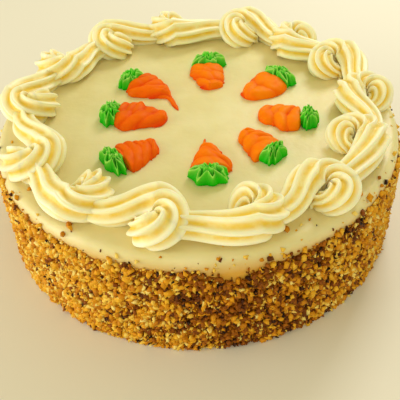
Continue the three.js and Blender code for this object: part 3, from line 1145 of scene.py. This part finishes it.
@dataclass
class PipedSwirl:
    """One reverse shell: a rope that rises, turns back on itself and tapers into a tail."""

    number: int
    angle: float
    centre: float
    side: int
    rope: float
    turn: float
    tail_length: float
    tail_offset: float
    eye_radius: float = 0.3 * MM
    start_turn: float = math.radians(-90)
    growth_turn: float = math.radians(100)
    start_girth: float = 0.5
    start_reach: float = 0.6
    end_reach: float = 1.22
    reach_curve: float = 0.7
    elbow: float = 0.3
    climb: float = 1.8 * MM
    # Tail: the radius that it thins to, its two handles as shares of its length, how far the first
    # one swings past the turn, how evenly it thins, how far it twists in degrees, and the share of
    # it that still gives way to the eye.
    tail_radius: float = 6.6 * MM
    tail_handles: Pair = (0.42, 0.55)
    tail_overshoot: float = 1.05
    tail_thinning: float = 0.9
    tail_twist: float = 25.0
    tail_inner: float = 0.3
    start_rings: int = 10
    turn_rings: int = 50
    tail_rings: int = 30

    def reach(self, turned: float) -> float:
        """Distance of the rope's middle from the eye, which grows as the rope winds out."""
        share = (turned - self.start_turn) / (math.pi - self.start_turn)
        return self.turn * mix(self.start_reach, self.end_reach, share**self.reach_curve)

    def grown(self, turned: float) -> float:
        """Share of its full girth that the rope has reached."""
        t = clamp((turned - self.start_turn) / self.growth_turn)
        return mix(self.start_girth, 1, t * t * (3 - 2 * t))

    def round_eye(self, turned: float, sink: float, pitch: float) -> Station:
        """Finds a station on the way round the eye.

        Args:
            turned: how far the rope has turned, in radians; the half turn begins at 0.
            sink: how far the rope's middle lies below its usual height.
            pitch: how steeply the rope rises, in radians.

        Returns:
            The station.
        """
        reach = self.reach(turned)
        return Station(
            u=reach * math.sin(turned),
            v=reach * math.cos(turned),
            sink=sink,
            pitch=pitch,
            heading=-turned,
            girth=self.rope * self.grown(turned),
            twist=turned,
            inner=1.0,
            room=reach - self.eye_radius,
        )

    def start(self) -> List[Station]:
        """Lets the rope rise out of the frosting and bend level, already turning.

        Returns:
            The stations, the lowest one first.
        """
        elbow = self.elbow * self.rope
        stations = [self.round_eye(self.start_turn, self.rope, math.pi / 2)]
        for i in range(self.start_rings):
            pitch = math.pi / 2 * (1 - i / self.start_rings)
            turned = self.start_turn + elbow * (1 - math.sin(pitch)) / self.turn
            stations.append(self.round_eye(turned, elbow * (1 - math.cos(pitch)), pitch))
        return stations

    def half_turn(self) -> List[Station]:
        """Winds the rope round the rest of the turn, climbing a little.

        Returns:
            The stations.
        """
        first = self.start_turn + self.elbow * self.rope / self.turn
        stations = []
        for i in range(self.turn_rings + 1):
            turned = mix(first, math.pi, i / self.turn_rings)
            climb = max(0.0, turned / math.pi) ** 2
            stations.append(self.round_eye(turned, -self.climb * climb, 0.0))
        return stations

    def tail(self) -> List[Station]:
        """Swings the tail to the border's middle and lets it grow thinner.

        Returns:
            The stations.
        """
        length = self.tail_length
        last = self.reach(math.pi)
        first_handle, second_handle = self.tail_handles
        knots = [
            Vector((0.0, -last)),
            Vector((-first_handle * length, -self.tail_overshoot * last)),
            Vector((-second_handle * length, self.tail_offset)),
            Vector((-length, self.tail_offset)),
        ]
        stations = []
        for i in range(1, self.tail_rings + 1):
            t = i / self.tail_rings
            place, along = bezier(knots, t)
            stations.append(
                Station(
                    u=place.x,
                    v=place.y,
                    sink=-self.climb * (1 - t) ** 2,
                    pitch=0.0,
                    heading=math.atan2(along.y, along.x),
                    girth=mix(self.rope, self.tail_radius, t**self.tail_thinning),
                    twist=math.radians(180 + self.tail_twist * t),
                    inner=max(0.0, 1 - t / self.tail_inner),
                    room=last - self.eye_radius,
                )
            )
        return stations

    def course(self) -> bpy.types.Mesh:
        """Draws the rope's course as two lines, which share the station at the middle of the turn.

        Returns:
            The lines, with each station's values on their points.
        """
        stations = self.start() + self.half_turn() + self.tail()
        half = self.start_rings + 1 + self.turn_rings // 2
        line = stations[: half + 1] + stations[half:]
        edges = [(i, i + 1) for i in range(len(line) - 1) if i != half]
        mesh = bpy.data.meshes.new("course")
        mesh.from_pydata([(s.u, s.v, 0.0) for s in line], edges, [])
        for part in fields(Station):
            point_attribute(mesh, part.name, [getattr(s, part.name) for s in line])
        return mesh


def bezier(knots: Sequence[Vector], t: float) -> Tuple[Vector, Vector]:
    """Finds the place and direction on a curve of four knots.

    Args:
        knots: the curve's ends and handles, in order.
        t: share of the way along.

    Returns:
        The place and the direction.
    """
    a, b, c, d = knots
    s = 1 - t
    place = a * s**3 + b * (3 * s * s * t) + c * (3 * s * t * t) + d * t**3
    along = (b - a) * (s * s) + (c - b) * (2 * s * t) + (d - c) * (t * t)
    return place, along


@dataclass
class PipedBorder:
    """The ring of swirls round the cake's top, all squeezed from one star tip."""

    top: float = 62.5 * MM
    border_radius: float = 93.5 * MM
    rope_radius: float = 9 * MM
    rope_range: Pair = (0.97, 1.03)
    turn_radius: float = 7.7 * MM
    turn_range: Pair = (0.96, 1.05)
    seed: int = 5
    head_reach: float = 1.07
    head_back: float = 3 * MM
    tail_tuck: float = 5 * MM
    rope_height: float = 0.76
    elbow_sharpness: int = 4
    flutes: int = 7
    flute_depth: float = 0.3
    flute_sharpness: float = 3.0
    points_per_flute: int = 12
    foot: float = 0.6 * MM
    # Where each swirl's head ends, in degrees, and how far its middle is from the cake's axis, in
    # millimetres.
    heads: Tuple[Pair, ...] = (
        (269, 92), (296, 90), (319.5, 94), (347, 86.5), (14, 93), (38, 91.5), (59.5, 94),
        (81.5, 92.5), (110.5, 94), (134.5, 92.5), (160, 95), (186, 91.5), (218, 93), (244, 89),
    )

    def swirls(self) -> List[PipedSwirl]:
        """Works out the swirls' sizes and places from the angles at which their heads end.

        Returns:
            The swirls.
        """
        random = np.random.default_rng(self.seed)
        swirls = []
        for i, (end, middle) in enumerate(self.heads):
            spacing = math.radians((end - self.heads[i - 1][0]) % 360) * self.border_radius
            rope = self.rope_radius * random.uniform(*self.rope_range)
            turn = self.turn_radius * random.uniform(*self.turn_range)
            side = 1 if i % 2 == 0 else -1
            centre = middle * MM
            back = (self.head_reach * turn + rope + self.head_back) / self.border_radius
            swirls.append(
                PipedSwirl(
                    number=i + 1,
                    angle=math.radians(end) - back,
                    centre=centre,
                    side=side,
                    rope=rope,
                    turn=turn,
                    tail_length=spacing - turn - rope + self.tail_tuck,
                    tail_offset=side * (self.border_radius - centre),
                )
            )
        return swirls

    def tree(self) -> ShapeBench:
        """Builds the tree that squeezes a fluted rope along a swirl's course on the cake.

        Returns:
            The workbench that holds the tree.
        """
        bench = ShapeBench("piped_rope")
        flutes, depth, sharpness = bench.numbers("Flutes", "Flute Depth", "Flute Sharpness")
        around_count = bench.number("Points Around", "NodeSocketInt")
        elbow, angle, centre, side = bench.numbers("Elbow Share", "Head Angle", "Head Centre", "Side")
        border, rope_height, top, foot = bench.numbers(
            "Border Radius", "Rope Height", "Cake Top", "Foot Depth"
        )
        material = bench.number("Finish", "NodeSocketMaterial")

        # A plain tube along each line of the course, with each point's share of the way round it.
        line = bench.node("GeometryNodeMeshToCurve", {"Mesh": bench.ground()})
        inputs = {"Resolution": around_count, "Radius": 1 * MM}
        ring = bench.node("GeometryNodeCurvePrimitiveCircle", inputs)
        index = Field(bench, bench.node("GeometryNodeInputIndex").outputs[0])
        numbered = bench.store(ring, "share", index / around_count)
        inputs = {"Curve": line, "Profile Curve": numbered, "Fill Caps": True}
        skin = bench.node("GeometryNodeCurveToMesh", inputs)

        # The fluted section, which gives way to the eye and to the elbow's inside.
        share = bench.attribute("share")
        wave = (share * flutes * math.pi).cos().size() ** sharpness
        # The crest value also colours the piping: painted highlight on the crests, painted shade in
        # the grooves.
        crested = bench.store(skin, "crest", wave)
        crest, girth = bench.attribute("crest"), bench.attribute("girth")
        around = share * TURN + math.pi / 2 - bench.attribute("twist")
        reach = girth * (1 - depth * (1 - crest))
        inward = reach * around.cos()
        up = reach * around.sin()
        towards_eye = inward.at_least(0.0)
        fitted = towards_eye * (bench.attribute("room") / girth)
        inward = inward + (fitted - towards_eye) * bench.attribute("inner")
        heading, pitch = bench.attribute("heading"), bench.attribute("pitch")
        below = (up * -1.0).at_least(0.0)
        tight = elbow * girth
        power = self.elbow_sharpness
        held = below / (((below / tight) ** power + 1) ** (1 / power))
        up = up + (below - held) * pitch.sin()

        # From the swirl's own plan to its place round the cake.
        leaning = pitch.sin() * up
        u = bench.attribute("u") + heading.sin() * inward - heading.cos() * leaning
        v = bench.attribute("v") - heading.cos() * inward - heading.sin() * leaning
        height = girth * rope_height - bench.attribute("sink") + pitch.cos() * up
        direction = angle + u / border
        distance = centre + side * v
        level = top + height.at_least(foot * -1.0)
        place = bench.vector(distance * direction.cos(), distance * direction.sin(), level)
        shaped = bench.node("GeometryNodeSetPosition", {"Geometry": crested, "Position": place})
        bench.finish(shaped, material)
        return bench

    def build(self, wardrobe: Wardrobe) -> None:
        """Pipes every swirl.

        Args:
            wardrobe: gives the finish.
        """
        bench = self.tree()
        for swirl in self.swirls():
            values = {
                "Flutes": float(self.flutes),
                "Flute Depth": self.flute_depth,
                "Flute Sharpness": self.flute_sharpness,
                "Points Around": self.flutes * self.points_per_flute,
                "Elbow Share": swirl.elbow,
                "Head Angle": swirl.angle,
                "Head Centre": swirl.centre,
                "Side": float(swirl.side),
                "Border Radius": self.border_radius,
                "Rope Height": self.rope_height,
                "Cake Top": self.top,
                "Foot Depth": self.foot,
                "Finish": wardrobe.get(Finish.PIPING),
            }
            name = f"swirl_{swirl.number:02d}"
            piece = bench.make(f"piped_{name}", swirl.course(), values)
            face_outwards(piece.data)
            hand_over(piece, name)


# ---------------------------------------------------------------- piped carrots


@dataclass(frozen=True)
class Tuft:
    """Place and size of a carrot's leafy top on the carrot's own axes, in millimetres."""

    along: float
    across: float
    depth: float
    width: float


@dataclass(frozen=True)
class Stroke:
    """One piped stroke of a carrot: its middle, half length and half width as shares."""

    along: float
    across: float
    length: float
    width: float


@dataclass
class PipedCarrot:
    """One carrot of orange icing, piped in strokes from its butt to its tip, with a leafy top."""

    number: int
    x: float
    y: float
    leafward: float
    tuft: Tuft
    right_bumps: int
    left_bumps: int
    outline: Tuple[Triple, ...]
    top: float = 62.5 * MM
    foot: float = 0.6 * MM
    foot_share: float = 0.8
    height: float = 6 * MM
    tip_height: float = 0.72
    slender: float = 0.55
    slim: float = 4 * MM
    leaf_height: float = 8.6 * MM
    stations: int = 110
    section: int = 44
    ends: Pair = (0.003, 0.998)
    # How the butt and the tip round off, and how full the section is.
    butt_length: float = 0.07
    tip_start: float = 0.93
    tip_length: float = 0.07
    tip_curve: float = 0.7
    roundness: float = 0.36
    # Strokes: how far they bulge the edges and part in creases, and where they lie.
    bump: float = 2.2
    crease: float = 0.5
    slant: float = 0.12
    fullness_curve: float = 0.6
    stroke_wander: float = 0.18
    stroke_across: Pair = (0.3, 0.6)
    stroke_length: Pair = (0.6, 0.75)
    stroke_width: Pair = (0.8, 1.1)
    first_seed: int = 20
    grain: float = 0.35 * MM
    grain_size: float = 3.2 * MM
    # Tone of the icing, which grows paler from the left of the cake to its right: painted shade,
    # deeper orange on the carrots to the left.
    tone: Pair = (0.74, 1.1)
    left_shade_distance: float = 40.0
    strokes: List[Stroke] = field(init=False)

    def __post_init__(self) -> None:
        """Lays the strokes out."""
        self.strokes = self.lay_strokes()

    def on_cake(self, along: float, across: float, height: float) -> Point:
        """Brings a point of the carrot's own plan to its place on the cake.

        Args:
            along: how far it is from the carrot's middle towards the leaves.
            across: how far it is to the left.
            height: its height over the frosting.

        Returns:
            The point.
        """
        turn = math.radians(self.leafward)
        x = self.x * MM + math.cos(turn) * along - math.sin(turn) * across
        y = self.y * MM + math.sin(turn) * along + math.cos(turn) * across
        return (x, y, self.top + height)

    def edges(self, t: float) -> Point:
        """Finds the carrot's edges on a smooth curve through the rows of its outline.

        Args:
            t: share of the way from the butt to the tip.

        Returns:
            Place along the carrot, right edge and left edge.
        """
        rows = self.outline
        place = min(t * (len(rows) - 1), len(rows) - 1 - 1e-6)
        i = int(place)
        f = place - i
        values = []
        for k in range(3):
            a, b = rows[i][k], rows[i + 1][k]
            before = rows[i - 1][k] if i > 0 else 2 * a - b
            after = rows[i + 2][k] if i + 2 < len(rows) else 2 * b - a
            curve = 2 * a + (b - before) * f
            curve += (2 * before - 5 * a + 4 * b - after) * f**2
            curve += (3 * a - before - 3 * b + after) * f**3
            values.append(0.5 * curve * MM)
        return (values[0], values[1], values[2])

    def lay_strokes(self) -> List[Stroke]:
        """Lays the overlapping strokes, first on the right and then on the left.

        Returns:
            The strokes.
        """
        random = np.random.default_rng(self.first_seed + self.number)
        strokes = []
        for side, count in ((-1, self.right_bumps), (1, self.left_bumps)):
            for k in range(count):
                along = (k + 0.5 + random.uniform(-self.stroke_wander, self.stroke_wander)) / count
                across = side * random.uniform(*self.stroke_across)
                length = random.uniform(*self.stroke_length) / count
                strokes.append(Stroke(along, across, length, random.uniform(*self.stroke_width)))
        return strokes

    def fullness(self, t: float, side: float) -> float:
        """Finds how full the icing is at a place.

        Args:
            t: share of the way from the butt to the tip.
            side: place from the right edge (-1) to the left one (1).

        Returns:
            The fullness, from 0 in a crease to 1 on a stroke's back.
        """
        t = t + self.slant * side * side
        full = 0.0
        for stroke in self.strokes:
            lean = self.slant * (side - stroke.across)
            fall = ((t - stroke.along + lean) / stroke.length) ** 2
            fall += ((side - stroke.across) / stroke.width) ** 2
            full = max(full, 1 - fall)
        return full**self.fullness_curve

    def sides(self) -> List[float]:
        """Places of a section's points, from the left edge (1) to the right one (-1)."""
        return [math.cos(math.pi * j / self.section) for j in range(self.section + 1)]

    def ring(self, t: float) -> List[Point]:
        """Makes the body's section at a share of the way from the butt to the tip.

        Args:
            t: the share.

        Returns:
            The section's points, with two below the frosting at the end.
        """
        along, right, left = self.edges(t)
        butt = math.sqrt(1 - max(0.0, 1 - t / self.butt_length) ** 2)
        beyond = max(0.0, (t - self.tip_start) / self.tip_length)
        end = math.sqrt(max(0.0, 1 - beyond**2))
        middle, half = 0.5 * (left + right), 0.5 * (left - right) * butt * end
        low = min(self.height * mix(1, self.tip_height, t), self.slender * (left - right))
        swell = min(1.0, half / self.slim)
        points = []
        for side in self.sides():
            full = self.fullness(t, side)
            edge = self.bump * MM * (full - 0.5) * abs(side) ** 3 * swell
            across = middle + half * side + math.copysign(edge, side)
            rise = low * butt * end**self.tip_curve * mix(1 - self.crease, 1, full)
            height = rise * max(0.0, 1 - side * side) ** self.roundness
            x, y, z = self.on_cake(along, across, height)
            height += self.grain * (smooth_noise(x, y, z, self.grain_size) - 0.5) * butt * end
            points.append((x, y, self.top + max(0.0, height)))
        for side in (-self.foot_share, self.foot_share):
            points.append(self.on_cake(along, middle + half * side, -self.foot))
        return points

    def body(self, wardrobe: Wardrobe) -> None:
        """Makes and dresses the orange body.

        Args:
            wardrobe: gives the finish.
        """
        shares = [mix(*self.ends, i / (self.stations - 1)) for i in range(self.stations)]
        rings = [self.ring(t) for t in shares]
        columns = len(rings[0])
        points = [point for ring in rings for point in ring]
        faces = ring_faces(len(rings), columns)
        faces.append(tuple(range(columns)))
        faces.append(tuple(reversed(range(len(points) - columns, len(points)))))
        mesh = closed_mesh(f"carrot_body_{self.number}", points, faces)
        # Painted light: crest values, lower for carrots to the left of the cake, give painted shade
        # in the creases and a painted highlight on the strokes' backs.
        tone = clamp(mix(*self.tone, self.x / self.left_shade_distance))
        painted_crest_light = []
        for t in shares:
            painted_crest_light += [tone * self.fullness(t, side) for side in self.sides()] + [0.0, 0.0]
        point_attribute(mesh, "crest", painted_crest_light)
        dress(mesh, wardrobe.get(Finish.ORANGE), f"carrot_{self.number}")

    def leaves(self, wardrobe: Wardrobe) -> None:
        """Makes and dresses the leafy top.

        Args:
            wardrobe: gives the finish.
        """
        top = LeafyTop(self)
        mesh = closed_mesh(f"leafy_top_{self.number}", top.points(), top.faces())
        point_attribute(mesh, "crest", top.painted_crest_light())
        dress(mesh, wardrobe.get(Finish.GREEN), f"leaf_{self.number}")


@dataclass
class LeafyTop:
    """Ruffled leaves: two thin frills that swing in and out round the tuft, the inner one higher.

    A place on the way out is counted in zones: 0 is the middle, 1 the inner frill, 2 the outer
    frill and 3 the rim.
    """

    carrot: PipedCarrot
    # Frills: their teeth, their places as shares of the way out, and how far they swing.
    outer_teeth: int = 7
    inner_teeth: int = 3
    outer_place: float = 0.71
    inner_place: float = 0.3
    outer_swing: float = 0.25
    inner_swing: float = 0.17
    least_gap: float = 0.12
    scallop: float = 0.14
    scallop_rest: float = 0.3
    # Swing: a wave with pointed crests, whose teeth wander and are unlike each other.
    wave: float = 0.85
    wave_point: float = 0.12
    wander: float = 0.9
    wander_size: float = 0.8
    unlike: float = 0.7
    unlike_size: float = 0.55
    unlike_level: float = 5.0
    usual: float = 0.9
    strongest: float = 1.15
    carrot_step: float = 1.7
    carrot_turn: float = 0.37
    # Height: a flat dome with folds between the frills and torn edges.
    dome_power: int = 7
    dome_rim: float = 0.78
    hollow: float = 0.36
    fold: float = 0.7
    skirt: float = 1.4
    jagged: float = 0.3
    jagged_size: float = 0.3
    jagged_step: float = 0.3
    rim_height: float = 0.8 * MM
    foot_share: float = 0.85
    # Painted highlight: a pale line on the frills' edges.
    line: float = 0.28
    highlight_line_thinness: float = 2.5
    highlight_line_share: float = 0.66
    rings_per_zone: int = 9
    columns: int = 144

    def swing(self, turn: float, teeth: int) -> float:
        """Finds the swing of a frill.

        Args:
            turn: angle round the tuft, in radians.
            teeth: number of the frill's teeth.

        Returns:
            The swing, from about -1 (inwards) to 1 (outwards).
        """
        x, y = math.cos(turn), math.sin(turn)
        level = self.carrot_step * self.carrot.number + teeth
        wander = self.wander * smooth_noise(x, y, level, self.wander_size)
        unlike = self.unlike * smooth_noise(x, y, level + self.unlike_level, self.unlike_size)
        strength = min(self.strongest, self.usual + unlike)
        phase = teeth * turn + TURN * (wander + self.carrot_turn * self.carrot.number)
        return strength * (self.wave * math.sin(phase) - self.wave_point * math.sin(3 * phase))

    def frill_places(self, turn: float) -> List[float]:
        """Finds how far out the middle, the inner frill, the outer frill and the rim are.

        Args:
            turn: angle round the tuft, in radians.

        Returns:
            Share of the way out of each.
        """
        inner = self.inner_place + self.inner_swing * self.swing(turn, self.inner_teeth)
        outer = self.outer_place + self.outer_swing * self.swing(turn, self.outer_teeth)
        return [0.0, inner, max(outer, inner + self.least_gap), 1.0]

    def crest(self, zone: float) -> float:
        """Finds how close a place is to a frill's edge.

        Args:
            zone: place counted in zones.

        Returns:
            The closeness, from 0 in a fold to 1 on the edge.
        """
        if zone >= 2:
            return max(0.0, 3 - zone) ** self.skirt
        return abs(2 * (zone % 1.0) - 1) ** self.fold if zone > 1 else zone**self.fold

    def rise(self, zone: float, share: float, turn: float) -> float:
        """Finds the height of the upper face.

        Args:
            zone: place counted in zones.
            share: share of the way out.
            turn: angle round the tuft, in radians.

        Returns:
            The height over the frosting.
        """
        dome = math.sqrt(max(0.0, 1 - share**self.dome_power)) * mix(1, self.dome_rim, share)
        x, y, level = math.cos(turn), math.sin(turn), self.jagged_step * zone
        ragged = 1 + self.jagged * smooth_noise(x, y, level, self.jagged_size)
        height = self.carrot.leaf_height * ragged * dome * mix(self.hollow, 1, self.crest(zone))
        return max(self.rim_height, height)

    def place(self, share: float, turn: float, height: float) -> Point:
        """Finds a point of the leaves on the cake.

        Args:
            share: share of the way out.
            turn: angle round the tuft, in radians.
            height: height over the frosting.

        Returns:
            The point.
        """
        tuft = self.carrot.tuft
        swing = self.swing(turn, self.outer_teeth) - self.scallop_rest
        reach = 0.5 * share * (1 + self.scallop * swing)
        along = tuft.along + tuft.depth * reach * math.cos(turn)
        across = tuft.across + tuft.width * reach * math.sin(turn)
        return self.carrot.on_cake(along * MM, across * MM, height)

    def grid(self) -> List[Triple]:
        """Lays the upper face out ring by ring, its rings aligned with the frills.

        Returns:
            Zone, share of the way out and angle of each point.
        """
        grid = []
        for ring in range(1, 3 * self.rings_per_zone + 1):
            zone = ring / self.rings_per_zone
            low = min(2, int(zone))
            for turn in circle_angles(self.columns):
                places = self.frill_places(turn)
                grid.append((zone, mix(places[low], places[low + 1], zone - low), turn))
        return grid

    def points(self) -> List[Point]:
        """Makes the points of the upper face, of the foot's rim and of the two middles.

        Returns:
            The points.
        """
        foot = -self.carrot.foot
        points = []
        for zone, share, turn in self.grid():
            points.append(self.place(share, turn, self.rise(zone, share, turn)))
        points += [self.place(self.foot_share, turn, foot) for turn in circle_angles(self.columns)]
        middle = self.rise(0.0, 0.0, 0.0)
        return points + [self.place(0.0, 0.0, middle), self.place(0.0, 0.0, foot)]

    def faces(self) -> List[Face]:
        """Faces of the closed form."""
        return capped_faces(3 * self.rings_per_zone + 1, self.columns)

    def painted_crest_light(self) -> List[float]:
        """Works out each point's painted light, from painted shade (0) in a fold to a pale painted
        highlight (1) on a frill's thin edge.

        Returns:
            One value for each point.
        """
        values = []
        for zone, _, _ in self.grid():
            frill = min(2, max(1, round(zone)))
            edge = max(0.0, 1 - abs(zone - frill) / self.line)
            values.append(mix(self.crest(zone), edge**self.highlight_line_thinness, self.highlight_line_share))
        return values + [0.0] * self.columns + [0.0, 0.0]


# Plans of the carrots: middle, direction of the leaves in degrees, leafy top, number of strokes
# on the right and on the left, and the outline from butt to tip as rows of place along, right
# edge and left edge. Lengths are in millimetres.
CARROT_PLANS = (
    (7.6, 39, 88, Tuft(15.2, -0.3, 12.5, 22), 3, 3,
     ((12, -8.4, 9.7), (7, -9, 10.5), (3, -9.1, 10.6), (0, -9, 8.4), (-4, -9, 6.7), (-8, -8.6, 5.3),
      (-11, -7, 3.5), (-13.5, -2.8, 1.5))),
    (38, 24.1, 44, Tuft(14.6, -1.4, 12, 23), 2, 2,
     ((12, -10, 9.6), (8, -11.2, 10.8), (3, -12, 9.7), (-1, -11.2, 8.6), (-5, -8.9, 7.6),
      (-9, -6.2, 6.1), (-12, -4.6, 4.4), (-14, -2, 1.8))),
    (45, -6.5, 352, Tuft(15.3, -2.4, 10.5, 18), 3, 4,
     ((11.5, -9.5, 7.5), (8, -11, 10), (4, -11.9, 9.3), (1, -11.2, 10.4), (-2, -8, 11.2),
      (-5, -6.6, 10), (-8.5, -5.6, 9.4), (-12, -2.6, 5.6))),
    (29.3, -29.9, 312, Tuft(13.8, -1.5, 10, 17), 3, 5,
     ((11, -10.3, 6.5), (8, -10.3, 9.5), (3, -8.3, 10.2), (-1, -6.8, 9.8), (-4, -5.2, 9.2),
      (-7, -4, 7.8), (-10, -1.6, 6.7), (-13, 1.8, 5.2))),
    (5.8, -41.1, 266, Tuft(14.6, -0.4, 12, 20), 3, 4,
     ((11, -9.6, 9.8), (7, -9.8, 10.4), (3, -9, 10), (0, -8.3, 8.2), (-2.5, -7.5, 5.4),
      (-6, -6.6, 4.7), (-9.5, -5.7, 2.6), (-12.5, -4.9, -0.9), (-15, -4.4, -3), (-18.5, -4, -3.1))),
    (-31.4, -31, 214, Tuft(15.4, 2.2, 10.5, 21.5), 6, 4,
     ((12, -5.5, 12.8), (9, -8.6, 13.4), (5, -9.4, 12.7), (1, -8.6, 10.6), (-2, -6.3, 9.9),
      (-5, -4.3, 9.2), (-8, -3.4, 7), (-11, -3.8, 2.4))),
    (-31.6, -0.3, 165, Tuft(16, 2.3, 11.5, 20), 5, 3,
     ((13, -8.8, 7.5), (9.5, -11.2, 11.4), (6, -11.6, 13), (2.5, -13, 12.3), (-1.5, -10, 10.2),
      (-6, -8.8, 8.4), (-11.5, -7.2, 5.9), (-15.5, -3.6, 3))),
    (-26.1, 28.4, 137, Tuft(14.8, 2, 12, 18), 6, 4,
     ((12, -9, 8), (8.5, -10.8, 11), (4, -10.3, 11.7), (0, -9, 10), (-5, -8.1, 7), (-10, -5.2, 3.7),
      (-14, -2.4, 1.2), (-20, 0.9, 3.9), (-27, 5, 6.5))),
)


class CarrotRing:
    """The eight carrots round the middle of the cake, clockwise from the back."""

    def __init__(self) -> None:
        """Lays the carrots out from their plans."""
        self.carrots = [PipedCarrot(i + 1, *plan) for i, plan in enumerate(CARROT_PLANS)]

    def build(self, wardrobe: Wardrobe) -> None:
        """Pipes every carrot and its leaves.

        Args:
            wardrobe: gives the finishes.
        """
        for carrot in self.carrots:
            carrot.body(wardrobe)
            carrot.leaves(wardrobe)


# ---------------------------------------------------------------- studio


@dataclass(frozen=True)
class SoftLight:
    """One square studio light."""

    name: str
    place: Point
    side: float
    power: float
    colour: Triple

    def build(self, target: Vector) -> None:
        """Hangs the light and aims it.

        Args:
            target: the point that it is aimed at.
        """
        lamp = bpy.data.lights.new(self.name, "AREA")
        lamp.energy = self.power
        lamp.size = self.side
        lamp.color = self.colour
        holder = place_in_scene(self.name, lamp)
        holder.location = self.place
        away = Vector(self.place) - target
        holder.rotation_euler = away.to_track_quat("Z", "Y").to_euler()


@dataclass
class Studio:
    """Camera, pale floor and soft light."""

    eye: Point = (-0.45 * MM, -288.7 * MM, 255.1 * MM)
    elevation: float = 41.47
    roll: float = -2.54
    lens: float = 56.0
    film_width: float = 36.0
    nearest: float = 10 * MM
    floor_size: float = 4.0
    floor_level: float = -0.2 * MM
    floor_colour: Colour = (236, 230, 216)
    floor_cloud: Colour = (214, 206, 190)
    floor_cloud_size: float = 0.2
    floor_cloud_detail: float = 2.0
    floor_cloud_share: float = 0.08
    floor_roughness: float = 0.6
    aim: Point = (0.0, 0.0, 0.05)
    lights: Tuple[SoftLight, ...] = (
        SoftLight("key", (0.35, 0.62, 0.62), 0.3, 3.3, (1.0, 0.99, 0.98)),
        SoftLight("left_fill", (-0.9, -0.2, 0.22), 0.6, 5.2, (1.0, 0.95, 0.9)),
        SoftLight("front_fill", (0.1, -0.95, 0.45), 0.9, 2.0, (1.0, 0.96, 0.92)),
    )
    sky: Colour = (255, 248, 200)
    sky_strength: float = 0.62

    def camera(self) -> None:
        """Sets the camera at its fitted place, looking down on the cake."""
        lens = bpy.data.cameras.new("camera")
        lens.lens = self.lens
        lens.sensor_width = self.film_width
        lens.clip_start = self.nearest
        holder = place_in_scene("camera", lens)
        tilt = Matrix.Rotation(math.radians(90 - self.elevation), 4, "X")
        lean = Matrix.Rotation(math.radians(self.roll), 4, "Z")
        holder.matrix_world = Matrix.Translation(self.eye) @ tilt @ lean
        bpy.context.scene.camera = holder

    def floor(self) -> None:
        """Lays the pale floor just under the cake."""
        half, level = 0.5 * self.floor_size, self.floor_level
        corners = [(x * half, y * half, level) for x, y in ((-1, -1), (1, -1), (1, 1), (-1, 1))]
        mesh = bpy.data.meshes.new("floor")
        mesh.from_pydata(corners, [], [(0, 1, 2, 3)])
        bench = FinishBench("pale_floor")
        clouds = bench.grain(self.floor_cloud_size, self.floor_cloud_detail) * self.floor_cloud_share
        cloudy = bench.blend(clouds, linear(self.floor_colour), self.floor_cloud)
        bench.set(Base_Color=cloudy, Roughness=self.floor_roughness)
        mesh.materials.append(bench.material)
        place_in_scene("floor", mesh)

    def sky_light(self) -> None:
        """Lights the scene softly from all round."""
        world = bpy.data.worlds.new("sky")
        world.use_nodes = True
        background = world.node_tree.nodes["Background"]
        background.inputs["Color"].default_value = linear(self.sky)
        background.inputs["Strength"].default_value = self.sky_strength
        bpy.context.scene.world = world

    def build(self) -> None:
        """Sets up the camera, the floor, the lights and the sky."""
        self.camera()
        self.floor()
        for light in self.lights:
            light.build(Vector(self.aim))
        self.sky_light()
        bpy.context.scene.view_settings.view_transform = "Standard"


# ---------------------------------------------------------------- assembly


def main() -> None:
    """Builds the studio and the cake's sub-assemblies in order."""
    logging.basicConfig(level=logging.INFO, format="%(name)s: %(message)s")
    wardrobe = Wardrobe()
    Studio().build()
    for assembly in (FrostedCake(), NutCoat(), PipedBorder(), CarrotRing()):
        assembly.build(wardrobe)


if __name__ == "__main__":
    main()
